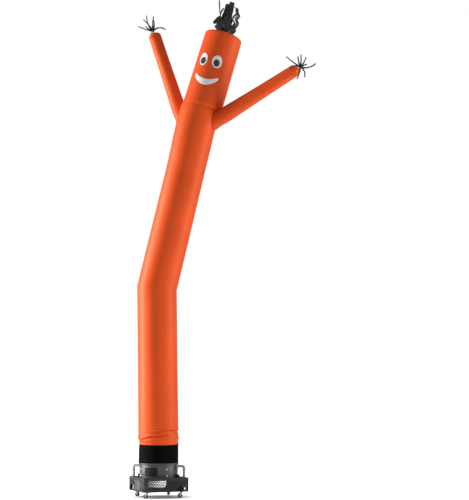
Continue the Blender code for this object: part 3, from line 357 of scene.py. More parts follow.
def tube_radius(distance, azimuth, z):
    rise = np.clip((z - LOWER_START) / 0.060, 0.0, 1.0)
    radius = TUBE_LOW_R + (TUBE_R - TUBE_LOW_R) * np.sin(rise * math.pi / 2)
    left = np.maximum(0.0, -np.sin(np.radians(azimuth)))
    right = np.maximum(0.0, np.sin(np.radians(azimuth)))
    radius = radius + 0.006 * bell(z, 0.700, 0.035) - 0.008 * left * bell(z, 0.645, 0.016)
    radius = radius + 0.0045 * bell(z, 0.637, 0.0065)
    radius = radius - fold_depth(azimuth, z)
    radius = radius - 0.004 * right * bell(distance, BEND - 0.004, 0.022)
    radius = radius - 0.003 * np.exp(-(NECK - distance) / 0.015) + shoulder(distance, azimuth)
    blown = smooth_step(distance, 0.6, 1.2) * (1.0 - smooth_step(distance, NECK - 0.75, NECK - 0.50))
    radius = radius + 0.0016 * np.sin(np.radians(azimuth) * 2 + distance * 1.9) * blown
    return np.where(z < LOWER_START + 0.001, TUBE_LOW_R, radius)


def tube_skin():
    steps = [np.linspace(0.0, 0.200, 7), np.arange(0.2065, 0.50, 0.0036), np.arange(0.51, BEND - 0.16, 0.050),
             np.arange(BEND - 0.150, BEND + 0.155, 0.012), np.arange(BEND + 0.20, NECK - 0.43, 0.050),
             np.arange(NECK - 0.40, NECK - 0.004, 0.012), [NECK]]
    distance = np.concatenate(steps)[:, None]
    cols = 144
    azimuth = (360.0 * np.arange(cols + 1) / cols - 180.0)[None, :]
    lean = LOWER_LEAN * smooth_step(distance, 0.200, 0.230)
    lean = lean + (UPPER_LEAN - LOWER_LEAN) * np.clip((distance - BEND + 0.036) / 0.072, 0.0, 1.0)
    centre = spine(distance)
    level = centre[..., 2] - TUBE_R * np.sin(np.radians(azimuth)) * np.sin(np.radians(lean))
    skew = NECK_SKEW * np.clip(1.0 - (NECK - distance) / 0.60, 0.0, 1.0)
    radius = tube_radius(distance, azimuth, level)
    pucker = bell(distance, NECK - 0.020, 0.030) * np.sin(np.radians(azimuth) * 26 + 1.0)
    radius = radius + 0.0012 * pucker
    points = on_ring(centre, lean, azimuth, radius, -skew * np.sin(np.radians(azimuth))) + BLOWER
    uv = np.stack(np.broadcast_arrays(np.radians(azimuth) * TUBE_R, distance), axis=-1)
    obj = skin("tube_skin", points[:, :-1], uv, NYLON, ["tube_body"])
    return obj


def head_radius(up):
    radius = HEAD_LOW_R + (HEAD_HIGH_R - HEAD_LOW_R) * up / HEAD_LENGTH
    return radius - (HEAD_LOW_R - TUBE_R + 0.002) * np.exp(-up / 0.018)


def head_centre(up):
    a = math.radians(HEAD_LEAN)
    along, across = np.array([math.sin(a), 0, math.cos(a)]), np.array([math.cos(a), 0, -math.sin(a)])
    up = np.asarray(up, float)
    shift = HEAD_SHIFT * (1.0 - np.exp(-up / 0.025))
    return spine(NECK) + up[..., None] * along + shift[..., None] * across


def on_head(across, up, lift=0.0):
    """Points of the head's surface from its unrolled face, raised by lift, in the part's frame."""
    azimuth = np.degrees(across / head_radius(up))
    return on_ring(head_centre(up), HEAD_LEAN, azimuth, head_radius(up) + lift) + BLOWER


def head_skin():
    up = np.concatenate([[0.0006], np.arange(0.008, 0.12, 0.010), np.arange(0.13, HEAD_LENGTH - 0.06, 0.028),
                         HEAD_LENGTH - np.array([0.050, 0.030, 0.018, 0.012, 0.008, 0.005, 0.002])])[:, None]
    cols = 144
    azimuth = (360.0 * np.arange(cols + 1) / cols - 180.0)[None, :]
    edge = np.clip((up - (HEAD_LENGTH - 0.020)) / 0.018, 0.0, 1.0)
    share = 1.0 - 0.032 * edge ** 2.2
    seam = np.clip(1.0 - up / 0.13, 0.0, 1.0)
    lean = HEAD_LEAN + (UPPER_LEAN - HEAD_LEAN) * seam
    drop = NECK_SKEW * seam * np.sin(np.radians(azimuth))
    radius = head_radius(up) * share
    radius = radius + 0.0014 * np.exp(-up / 0.05) * np.sin(np.radians(azimuth) * 24)
    radius = radius + 0.0010 * bell(up, HEAD_LENGTH - 0.03, 0.03) * np.sin(np.radians(azimuth) * 22)
    rows = [on_ring(head_centre(up), lean, azimuth, radius, -drop)]
    for share in (0.93, 0.87, 0.79, 0.66, 0.50, 0.33, 0.16):
        r = HEAD_HIGH_R * share
        rise = HEAD_DOME * (1.0 - (r / HEAD_HIGH_R) ** 2)
        rows.append(on_ring(head_centre(np.array([[HEAD_LENGTH + rise]])), HEAD_LEAN, azimuth, r))
    points = np.concatenate(rows) + BLOWER
    length = np.concatenate([up[:, 0], HEAD_LENGTH + np.linspace(0.02, 0.20, 7)])[:, None]
    uv = np.stack(np.broadcast_arrays(np.radians(azimuth) * HEAD_HIGH_R, length), axis=-1)
    top = head_centre(np.array(HEAD_LENGTH + HEAD_DOME)) + BLOWER
    obj = skin("head_skin", points[:, :-1], uv, NYLON, ["head"], apex=top)
    width, length = 2 * math.pi * HEAD_LOW_R, HEAD_LENGTH + 2 * HEAD_HIGH_R
    return obj


def arm_axis(arm):
    root_az, below_neck, wrist, _, _ = ARMS[arm]
    root = on_ring(spine(NECK - below_neck), UPPER_LEAN, root_az, TUBE_R)
    wrist = np.array(wrist)
    along = (wrist - root) / np.linalg.norm(wrist - root)
    first = np.cross(along, (0, 1, 0))
    first = first / np.linalg.norm(first)
    return root, wrist, along, first, np.cross(along, first)


def arm_point(arm, share, turn):
    """Points of an arm's surface at a share of its length, and at a turn round it."""
    root, wrist, _, first, second = arm_axis(arm)
    root_r, wrist_r = ARMS[arm][3:]
    radius = root_r + (wrist_r - root_r) * np.maximum(0.0, share)
    radius = radius - 0.006 * bell(share, 0.03, 0.05) + 0.003 * bell(share, 0.16, 0.08)
    radius = radius + 0.0012 * np.sin(turn * 2 + share * 7.0) * smooth_step(share, 0.15, 0.4)
    side = np.cos(turn)[..., None] * first + np.sin(turn)[..., None] * second
    return root + (wrist - root) * share[..., None] + side * radius[..., None]


def off_tube(points):
    """How far points stand off the surface of the tube's upper run."""
    start, end = spine(BEND), spine(NECK)
    along = (end - start) / np.linalg.norm(end - start)
    run = (points - start) @ along
    side = points - start - run[..., None] * along
    azimuth = np.degrees(np.arctan2(side @ np.array([along[2], 0.0, -along[0]]), -side[..., 1]))
    return np.linalg.norm(side, axis=-1) - TUBE_R - shoulder(BEND + run, azimuth)


def off_head(points):
    """How far points stand off the head's surface."""
    a = math.radians(HEAD_LEAN)
    along = np.array([math.sin(a), 0.0, math.cos(a)])
    up = (points - spine(NECK)) @ along
    side = points - head_centre(np.maximum(0.0, up))
    side = side - (side @ along)[..., None] * along
    away = np.linalg.norm(side, axis=-1) - head_radius(np.maximum(0.0, up))
    return np.where(up < -0.010, 1.0, away)


def arm_skin(name):
    root, wrist, along, first, second = arm_axis(name)
    cols = 72
    turn = 2 * math.pi * np.arange(cols + 1) / cols
    low, high = np.full(turn.shape, -0.30), np.full(turn.shape, 0.60)
    for _ in range(40):
        middle = (low + high) / 2
        point = arm_point(name, middle, turn)
        inside = (off_tube(point) < ARM_GAP + 0.0004) | (off_head(point) < 3 * ARM_GAP)
        low, high = np.where(inside, middle, low), np.where(inside, high, middle)
    share = np.concatenate([np.arange(0.0, 0.12, 0.010), np.arange(0.13, 0.90, 0.035), np.arange(0.90, 0.979, 0.015)])
    share = high[None, :] + (1.0 - high[None, :]) * share[:, None]
    turns = np.broadcast_to(turn, share.shape)
    points = [arm_point(name, share, turns)]
    length = float(np.linalg.norm(wrist - root))
    reach_uv = [share * length]
    wrist_r = ARMS[name][4]
    for reach, size in WRIST_CLOSING:
        pleat = 1.0 + 0.022 * bell(reach, 0.022, 0.020) * np.sin(turn * 11)
        side = np.cos(turn)[:, None] * first + np.sin(turn)[:, None] * second
        points.append((wrist + along * reach + side * (wrist_r * size * pleat)[:, None])[None])
        reach_uv.append(np.full((1, cols + 1), length + reach + (1.0 - size) * wrist_r))
    points = np.concatenate(points) + BLOWER
    around = np.broadcast_to(turn * wrist_r, points.shape[:2])
    uv = np.stack([around, np.concatenate(reach_uv)], axis=-1)
    tip = wrist + along * (WRIST_END - 0.002) + BLOWER
    obj = skin(name + "_skin", points[:, :-1], uv, NYLON, [name], apex=tip)
    return obj


# Face patches

def patch_from_grid(name, across, up, lift, material, replaced):
    points = on_head(across, up, lift)
    uv = np.stack([across, up], axis=-1)
    obj = skin(name, points, uv, material, replaced, thick=0.0010, wraps=False)
    return obj


EYE_TILT = math.radians(8.0)
# across, up, half width, half height, layer
FACE_DISCS = {
    "eye_white_left": (-0.157, 0.584, 0.058, 0.083, 0),
    "eye_white_right": (0.027, 0.583, 0.063, 0.082, 0),
    "pupil_left": (-0.158, 0.562, 0.038, 0.046, 1),
    "pupil_right": (0.025, 0.564, 0.038, 0.045, 1),
}


def face_disc(name):
    """Oval patch that follows the head, with a slightly raised edge."""
    across, up, half_w, half_h, layer = FACE_DISCS[name]
    rings, cols = 14, 64
    share = (np.arange(rings + 1) / rings)[:, None]
    share = np.where(share == 0, 0.002, share)
    turn = (2 * math.pi * np.arange(cols + 1) / cols)[None, :]
    u, v = half_w * share * np.cos(turn), half_h * share * np.sin(turn)
    x = across + u * math.cos(EYE_TILT) - v * math.sin(EYE_TILT)
    y = up + u * math.sin(EYE_TILT) + v * math.cos(EYE_TILT)
    lift = 0.0016 + layer * 0.0015 + 0.0008 * bell(share, 0.93, 0.04) + 0.0 * turn
    points = on_head(x, y, lift)
    uv = np.stack([x, y], axis=-1)
    material = FACE_WHITE if layer == 0 else FACE_BLACK
    obj = skin(name + "_cloth", points[:, :-1], uv, material, [name], thick=0.0010)


MOUTH_ACROSS, MOUTH_HALF = -0.055, 0.160
MOUTH_UPPER, MOUTH_LOWER = (0.334, 0.066), (0.258, 0.098)


def mouth():
    """Smiling crescent with round ends."""
    cols, rows = 90, 14
    t = -np.cos(math.pi * np.arange(cols + 1) / cols)[:, None]
    r = (np.arange(rows + 1) / rows * 2 - 1)[None, :]
    middle = 0.5 * (MOUTH_UPPER[0] + MOUTH_LOWER[0]) + 0.5 * (MOUTH_UPPER[1] + MOUTH_LOWER[1]) * t * t
    half = 0.5 * (MOUTH_UPPER[0] - MOUTH_LOWER[0]) + 0.5 * (MOUTH_UPPER[1] - MOUTH_LOWER[1]) * t * t
    half = half * (np.sqrt(np.maximum(0.0, 1.0 - t ** 14)) + 0.02)
    across, up = MOUTH_ACROSS + MOUTH_HALF * t + 0.0 * r, middle + half * r
    lift = 0.0016 + 0.0006 * bell(np.abs(r), 0.92, 0.07) + 0.0 * t
    patch_from_grid("mouth_cloth", across, up, lift, FACE_WHITE, ["mouth"])


# Hair and fringes: flat strips of cloth

def strip_mesh(bm, layer, path, wide, thick, flat, taper=0.25, curl=0.0, wave=0.0):
    """Adds a ribbon along a path of points, its width along flat, tapering and curling over its length."""
    path = [Vector(p) for p in path]
    flat = Vector(flat)
    rows = []
    for k, point in enumerate(path):
        ahead = (path[min(k + 1, len(path) - 1)] - path[max(k - 1, 0)]).normalized()
        side = (flat - ahead * flat.dot(ahead)).normalized()
        side = Matrix.Rotation(curl * k / (len(path) - 1), 3, ahead) @ side
        over = ahead.cross(side)
        share = k / (len(path) - 1)
        width = wide * (1.0 - taper * share) * (1.0 + wave * math.sin(share * 9.0))
        row = []
        for x, y in ((-1, -1), (-0.5, -1.35), (0.5, -1.35), (1, -1), (1, 1), (0.5, 0.65), (-0.5, 0.65), (-1, 1)):
            row.append(bm.verts.new(point + side * (x * width / 2) + over * (y * thick / 2)))
        rows.append(row)
    n = len(rows[0])
    around = [0.0, wide * 0.25, wide * 0.75, wide, wide, wide * 0.75, wide * 0.25, 0.0]
    run = 0.0
    for k, (low, high) in enumerate(zip(rows, rows[1:])):
        ahead = (path[k + 1] - path[k]).length
        for i in range(n):
            j = (i + 1) % n
            face = bm.faces.new((low[i], low[j], high[j], high[i]))
            for loop, (u, v) in zip(face.loops, ((around[i], run), (around[j], run), (around[j], run + ahead),
                                                 (around[i], run + ahead))):
                loop[layer].uv = (u, v)
        run += ahead
    bm.faces.new(rows[0][::-1])
    bm.faces.new(rows[-1])


def arc_path(start, direction, sideways, length, bend, steps=12):
    points, point = [Vector(start)], Vector(start)
    direction, sideways = Vector(direction), Vector(sideways)
    for k in range(steps):
        a = math.radians(bend) * (k + 0.5) / steps * 2
        point = point + (direction * math.cos(a) + sideways * math.sin(a)) * (length / steps)
        points.append(point.copy())
    return points


FRINGE = {
    # angle, length, bend, toward
    "fringe_right": (
        (149.0, 0.200, -4.0, 10.0), (106.0, 0.145, -8.0, -20.0), (80.0, 0.142, 8.0, 30.0),
        (48.0, 0.152, 14.0, -15.0), (22.0, 0.085, -6.0, 40.0), (-16.0, 0.190, 30.0, 5.0),
        (-12.0, 0.135, -50.0, -30.0), (-96.0, 0.150, -10.0, 10.0), (150.0, 0.115, 44.0, 20.0)),
    "fringe_left": (
        (142.0, 0.205, -28.0, 20.0), (150.0, 0.138, -10.0, -30.0), (120.0, 0.200, 8.0, -12.0),
        (98.0, 0.172, -10.0, 25.0), (76.0, 0.171, 12.0, -25.0), (48.0, 0.163, -44.0, 10.0),
        (170.0, 0.185, -8.0, 0.0), (-150.0, 0.085, 20.0, -40.0)),
}
STRAND_WIDE, STRAND_THICK = 0.020, 0.0026


def strips(name, build, replaced):
    bm = bmesh.new()
    layer = bm.loops.layers.uv.new("UVMap")
    build(bm, layer)
    bmesh.ops.recalc_face_normals(bm, faces=bm.faces[:])
    mesh = bpy.data.meshes.new(name)
    bm.to_mesh(mesh)
    bm.free()
    return finish_piece(mesh, name, STRIP_BLACK, BODY, replaced, sharp=50)


def knot(bm, layer, centre, axis, profile, sides=20, pleats=0.0):
    """Closed lump of gathered cloth, turned round an axis from (radius, along) rows."""
    axis = Vector(axis).normalized()
    first = axis.cross(Vector((0, 1, 0))).normalized()
    second = axis.cross(first)
    rows = []
    for radius, level in profile:
        row = []
        for i in range(sides):
            a = 2 * math.pi * i / sides
            r = radius * (1.0 + pleats * math.sin(a * 5 + level * 60))
            row.append(bm.verts.new(Vector(centre) + axis * level + (first * math.cos(a) + second * math.sin(a)) * r))
        rows.append(row)
    for k, (low, high) in enumerate(zip(rows, rows[1:])):
        for i in range(sides):
            j = (i + 1) % sides
            face = bm.faces.new((low[i], low[j], high[j], high[i]))
            for loop, (u, v) in zip(face.loops, ((i, k), (i + 1, k), (i + 1, k + 1), (i, k + 1))):
                loop[layer].uv = (u * 0.006, v * 0.008)
    bm.faces.new(rows[0][::-1])
    bm.faces.new(rows[-1])


def fringe(name, arm):
    _, wrist, along, _, _ = arm_axis(arm)
    axis = Vector(along)
    tip = Vector(wrist + along * (WRIST_END + 0.0004) + BLOWER)

    def build(bm, layer):
        knot(bm, layer, tip, axis, ((0.006, -0.0002), (0.012, 0.003), (0.0155, 0.010), (0.0165, 0.017),
                                    (0.0150, 0.024), (0.0105, 0.029), (0.004, 0.032)), pleats=0.10)
        for angle, length, bend, toward in FRINGE[name]:
            a, t = math.radians(angle), math.radians(toward)
            direction = Vector((math.cos(a) * math.cos(t), -math.sin(t), math.sin(a) * math.cos(t)))
            sideways = Vector((-math.sin(a), 0.0, math.cos(a)))
            start = tip + axis * 0.016 + direction * 0.006
            path = arc_path(start, direction, sideways, length + 0.012, bend)
            strip_mesh(bm, layer, path, STRAND_WIDE, STRAND_THICK, sideways, curl=0.7, wave=0.10)
    return strips(name + "_strips", build, [name])


HAIR_LEAN = math.radians(7.0)
HAIR_SHIFT = 0.012
HAIR_RING = (
    # radius on the pad, first turn, count, lean, length, wide, curl
    (0.040, 12.0, 9, 12.0, 0.240, 0.044, -6.0),
    (0.028, 30.0, 6, 9.0, 0.370, 0.048, -8.0),
)
# Strips that show in the outline: width, share of it that faces the viewer, and points of (across, depth, up)
HAIR_STRIPS = (
    (0.064, 1.0, ((-0.020, 0.004, 0.028), (-0.034, 0.004, 0.150), (-0.040, 0.002, 0.300), (-0.030, 0.0, 0.470))),
    (0.054, 1.0, ((-0.040, -0.012, 0.028), (-0.068, -0.020, 0.150), (-0.078, -0.022, 0.280),
                  (-0.072, -0.020, 0.408))),
    (0.050, 1.0, ((0.014, 0.010, 0.028), (-0.002, 0.012, 0.150), (-0.010, 0.012, 0.280), (-0.020, 0.010, 0.425))),
    (0.050, 1.0, ((-0.036, -0.030, 0.028), (-0.056, -0.045, 0.110), (-0.054, -0.048, 0.180),
                  (-0.046, -0.045, 0.250))),
    (0.062, 1.0, ((-0.040, -0.060, 0.028), (-0.080, -0.074, 0.050), (-0.116, -0.080, 0.078),
                  (-0.140, -0.082, 0.100))),
    (0.062, 1.0, ((-0.056, -0.040, 0.028), (-0.094, -0.060, 0.076), (-0.116, -0.066, 0.120),
                  (-0.108, -0.066, 0.182))),
    (0.062, 1.0, ((0.030, -0.060, 0.028), (0.056, -0.070, 0.062), (0.070, -0.074, 0.110), (0.074, -0.072, 0.156))),
    (0.052, 1.0, ((0.040, -0.030, 0.028), (0.072, -0.040, 0.070), (0.084, -0.044, 0.120), (0.080, -0.044, 0.192))),
    (0.074, 1.0, ((-0.008, -0.070, 0.026), (-0.016, -0.086, 0.066), (-0.020, -0.090, 0.116))),
    (0.054, 1.0, ((0.020, -0.040, 0.028), (0.004, -0.055, 0.120), (-0.004, -0.058, 0.210), (-0.010, -0.052, 0.285))),
    (0.040, 0.95, ((-0.058, -0.045, 0.030), (-0.092, -0.070, 0.130), (-0.112, -0.078, 0.206), (-0.136, -0.084, 0.196),
                   (-0.158, -0.088, 0.150), (-0.176, -0.090, 0.106))),
    (0.036, 0.40, ((-0.062, -0.020, 0.030), (-0.100, -0.030, 0.150), (-0.122, -0.032, 0.235), (-0.146, -0.034, 0.290),
                   (-0.172, -0.035, 0.360), (-0.194, -0.036, 0.434))),
    (0.034, 0.36, ((-0.060, 0.010, 0.030), (-0.104, 0.004, 0.170), (-0.134, 0.002, 0.285), (-0.118, 0.0, 0.362))),
    (0.052, 0.80, ((0.046, -0.020, 0.028), (0.086, -0.036, 0.140), (0.110, -0.042, 0.204), (0.082, -0.044, 0.252),
                   (0.098, -0.046, 0.302), (0.066, -0.046, 0.344), (0.046, -0.045, 0.392), (0.008, -0.044, 0.402))),
    (0.038, 0.72, ((0.036, 0.010, 0.028), (0.026, 0.006, 0.160), (0.030, 0.004, 0.262), (0.060, 0.002, 0.330),
                   (0.092, 0.0, 0.318))),
    (0.038, 0.72, ((0.028, 0.020, 0.028), (0.014, 0.018, 0.180), (0.026, 0.016, 0.258), (0.084, 0.012, 0.204))),
)


def smooth_path(points, steps=6):
    """Points along a smooth curve through the given ones."""
    points = np.array(points, float)
    ends = np.concatenate([[2 * points[0] - points[1]], points, [2 * points[-1] - points[-2]]])
    out = []
    for a, b, c, d in zip(ends, ends[1:], ends[2:], ends[3:]):
        for t in np.arange(steps) / steps:
            out.append(0.5 * (2 * b + (c - a) * t + (2 * a - 5 * b + 4 * c - d) * t ** 2
                              + (3 * b - a - 3 * c + d) * t ** 3))
    return out + [points[-1]]


def hair():
    """Bunch of cloth strips that stands up from a gathered patch on the crown."""
    a = math.radians(HEAD_LEAN)
    up, across = Vector((math.sin(a), 0, math.cos(a))), Vector((math.cos(a), 0, -math.sin(a)))
    foot = Vector(head_centre(np.array(HEAD_LENGTH)) + BLOWER) + across * HAIR_SHIFT
    rise = Vector((math.sin(HAIR_LEAN), 0.0, math.cos(HAIR_LEAN)))
    deep = Vector((0.0, 1.0, 0.0))

    def build(bm, layer):
        crown = [HEAD_DOME * (1.0 - (r / HEAD_HIGH_R) ** 2) + 0.0008 for r in (0.080, 0.078)]
        knot(bm, layer, foot, up, ((0.080, crown[0]), (0.078, crown[1] + 0.006), (0.060, HEAD_DOME + 0.010),
                                   (0.040, HEAD_DOME + 0.016), (0.012, HEAD_DOME + 0.020)), sides=36, pleats=0.03)
        for k in range(13):
            b = 2 * math.pi * (k + 0.25) / 13
            out = across * math.cos(b) + deep * math.sin(b)
            wide = 0.048 + 0.010 * math.sin(5.0 * b)
            reach, high = 0.118 + 0.014 * math.sin(3.0 * b + 1.0), 0.112 + 0.022 * math.cos(4.0 * b)
            path = smooth_path([(0.060, 0.026), (0.086, 0.044), (reach - 0.012, 0.080), (reach, high)], 4)
            path = [foot + out * x + up * y - across * (0.022 * smooth_step(x, 0.060, 0.110)) for x, y in path]
            strip_mesh(bm, layer, path, wide, 0.0026, up.cross(out), taper=-0.20, curl=0.45 * math.sin(6.0 * b),
                       wave=0.05)
        for ring, (radius, first, count, lean, length, wide, curl) in enumerate(HAIR_RING):
            for k in range(count):
                b = math.radians(first) + 2 * math.pi * k / count
                out = across * math.cos(b) + deep * math.sin(b)
                tilt = math.radians(lean) * (0.55 if math.cos(b) > 0.3 else 1.0)
                direction = (rise * math.cos(tilt) + out * math.sin(tilt)).normalized()
                sideways = (out - direction * out.dot(direction)).normalized()
                start = foot + out * radius + up * (HEAD_DOME * (1.0 - (radius / HEAD_HIGH_R) ** 2) + 0.005)
                reach = length * (1.0 + 0.08 * math.cos(5.0 * b + ring))
                path = arc_path(start, direction, sideways, reach, curl)
                strip_mesh(bm, layer, path, wide, 0.0026, direction.cross(sideways), taper=0.05,
                           curl=0.4 * math.sin(7.0 * b), wave=0.05)
        for wide, facing, points in HAIR_STRIPS:
            path = [foot + across * x + deep * y + up * z for x, y, z in smooth_path(points)]
            flat = across * facing + deep * math.sqrt(1.0 - min(1.0, facing) ** 2)
            strip_mesh(bm, layer, path, wide, 0.0026, flat, taper=0.0, curl=0.0, wave=0.04)
    return strips("hair_strips", build, ["hair"])


# Collar

def collar():
    """Black sleeve round the tube's foot: a gathered hem at its top, a slack fold at its lower left."""
    z = np.concatenate([np.linspace(COLLAR_LOW, 0.440, 10), np.linspace(0.447, 0.590, 26),
                        np.linspace(0.593, COLLAR_HIGH, 10)])[:, None]
    cols = 144
    azimuth = (360.0 * np.arange(cols + 1) / cols - 180.0)[None, :]
    slack = np.interp(z, (COLLAR_LOW, 0.428, 0.480, 0.570, COLLAR_HIGH), (0.0085, 0.0075, 0.0062, 0.0055, 0.0))
    left = np.maximum(0.0, np.cos(np.radians(azimuth + 95.0)))
    radius = TUBE_LOW_R + 0.0004 + 0.0025 + slack * (0.12 + 0.88 * left)
    radius = radius + 0.0012 * bell(z, COLLAR_HIGH - 0.012, 0.004) + 0.0012 * bell(z, COLLAR_LOW + 0.012, 0.004)
    radius = radius + 0.0008 * np.sin(np.radians(azimuth) * 40) * bell(z, COLLAR_HIGH - 0.020, 0.012)
    radius = radius + 0.0010 * np.sin(np.radians(azimuth) * 11 + 8.0 * z) * bell(z, 0.50, 0.07)
    sides = 1.0 - np.abs(np.cos(np.radians(azimuth)))
    height = z + (0.007 + 0.009 * sides) * smooth_step(z, 0.560, COLLAR_HIGH)
    radius = np.maximum(radius, tube_radius(height - TUBE_FOOT, azimuth, height) + 0.0034)
    points = on_ring(np.zeros(3), 0.0, azimuth, radius, height) + BLOWER
    uv = np.stack(np.broadcast_arrays(np.radians(azimuth) * TUBE_LOW_R, z), axis=-1)
    obj = skin("collar_sleeve", points[:, :-1], uv, SLEEVE_BLACK, ["collar"], thick=0.0022)


# Blower

BOX_SIDE, BOX_BOTTOM, BOX_TOP, BOX_TURN = 0.568, 0.075, 0.242, -24.0
BOX_WALL, BOX_CORNER_R, BOX_HOLE_R = 0.0025, 0.010, 0.222
DRUM_R, DRUM_TOP, DRUM_WALL = 0.233, 0.390, 0.003
FLANGE_R, FLANGE_TOP = 0.241, 0.410
ARCH_HEIGHT, ARCH_FOOT, ARCH_WIDTH, ARCH_FROM_CORNER, CORNER_ARCH_WIDTH = 0.066, 0.089, 0.100, 0.095, 0.081
INLET_WIDTH, INLET_SHIFT, INLET_LOW, INLET_HIGH = 0.194, 0.037, 0.098, 0.208
HANDLE_LEG_R, HANDLE_TOP, HANDLE_WIDE, HANDLE_DEEP, HANDLE_BEND = 0.338, 0.390, 0.025, 0.032, 0.023
LABEL_TURN, LABEL_HALF_ANGLE, LABEL_LOW, LABEL_HIGH = -23.0, 20.5, 0.262, 0.362
BOLT_TURN, BOLT_HEIGHTS = 4.5, (0.262, 0.340)
CASTER_R, CASTER_TRAIL, WHEEL_R, WHEEL_WIDE, AXLE_R = 0.306, 0.020, 0.029, 0.020, 0.0035
CASTERS = {"near": (0.0, -110.0), "right": (90.0, -70.0), "far": (180.0, -150.0), "left": (270.0, 75.0)}
UP = Vector((0, 0, 1))
AXIS = Vector(BLOWER)


def heading(azimuth):
    a = math.radians(azimuth)
    return Vector((math.sin(a), -math.cos(a), 0.0))


def solid(name, build, material, replaced, body=BODY, sharp=35, bevel=None):
    bm = bmesh.new()
    build(bm)
    bmesh.ops.recalc_face_normals(bm, faces=bm.faces[:])
    mesh = bpy.data.meshes.new(name)
    bm.to_mesh(mesh)
    bm.free()
    obj = finish_piece(mesh, name, material, body, replaced, sharp=sharp)
    if bevel:
        step = obj.modifiers.new("edges", "BEVEL")
        step.width, step.segments, step.limit_method = bevel, 2, "ANGLE"
        step.angle_limit = math.radians(50)
        step.harden_normals = True
    return obj


def ring_rows(bm, rows, closed=True, caps=False, slot=0):
    """Faces between rows of vertices that go round."""
    pairs = list(zip(rows, rows[1:])) + ([(rows[-1], rows[0])] if closed else [])
    for low, high in pairs:
        for i in range(len(low)):
            j = (i + 1) % len(low)
            bm.faces.new((low[i], low[j], high[j], high[i])).material_index = slot
    if caps:
        bm.faces.new(rows[0][::-1]).material_index = slot
        bm.faces.new(rows[-1]).material_index = slot


def turned(bm, profile, sides, centre, axis=UP, closed=True, caps=False, slot=0):
    """Turns a profile of (radius, along) round an axis."""
    axis = Vector(axis).normalized()
    first = axis.orthogonal().normalized()
    second = axis.cross(first)
    rows = [[bm.verts.new(Vector(centre) + axis * level + (first * math.cos(2 * math.pi * i / sides)
                                                           + second * math.sin(2 * math.pi * i / sides)) * radius)
             for i in range(sides)] for radius, level in profile]
    ring_rows(bm, rows, closed, caps, slot)


def prism(bm, outline, low, high, origin, across, up):
    normal = across.cross(up)
    rows = [[bm.verts.new(origin + across * u + up * v + normal * level) for u, v in outline]
            for level in (low, high)]
    ring_rows(bm, rows, closed=False, caps=True)


def rounded(width, height, radius, steps=4, middle=(0.0, 0.0)):
    points = []
    for quarter, (sx, sy) in enumerate(((1, 1), (-1, 1), (-1, -1), (1, -1))):
        for k in range(steps + 1):
            a = (quarter + k / steps) * math.pi / 2
            points.append((middle[0] + sx * (width / 2 - radius) + radius * math.cos(a),
                           middle[1] + sy * (height / 2 - radius) + radius * math.sin(a)))
    return points


RAIL_HIGH, POST = 0.030, 0.022
DIAMOND_WIDE, DIAMOND_TALL, BAR = 0.0225, 0.037, 0.0075
ARCH_BORDER = 0.008
SOLID_FROM = {45.0: 0.238, 135.0: 0.104, 225.0: 0.104, 315.0: 0.238}    # plain sheet past this, near a handle
INLET_LEFT, INLET_RIGHT = INLET_SHIFT - INLET_WIDTH / 2, INLET_SHIFT + INLET_WIDTH / 2


def side_arches(azimuth):
    """Arches of one side of the box, as middle, half width and rise. The first is its part of the arch
    through a corner, which some sides have at their right end and some at their left."""
    half = BOX_SIDE / 2
    corner = half if azimuth in (135.0, 315.0) else -half
    end = 1 if azimuth in (45.0, 225.0) else -1
    return ((corner, CORNER_ARCH_WIDTH * 0.7071, CORNER_ARCH_WIDTH / 2),
            (end * (half - ARCH_FROM_CORNER), ARCH_WIDTH / 2, ARCH_HEIGHT * 0.75))


def arch_edge(u, arch, grow=0.0):
    """Height of an arch's edge over a point of its side, or of its foot beside the arch."""
    middle, half, rise = arch
    share = min(1.0, abs(u - middle) / (half + grow))
    if share >= 1.0:
        return ARCH_FOOT
    return ARCH_FOOT + ARCH_HEIGHT - rise + (rise + grow) * math.sqrt(1.0 - share * share)


def strip_plate(bm, columns, out, across):
    """Sheet between the two heights of each column of (along, low, high)."""
    rows = []
    for u, low, high in columns:
        rows.append([bm.verts.new(AXIS + out * (BOX_SIDE / 2 - depth) + across * u + UP * v)
                     for depth, v in ((0.0, low), (0.0, high), (BOX_WALL, high), (BOX_WALL, low))])
    ring_rows(bm, rows, closed=False, caps=True)


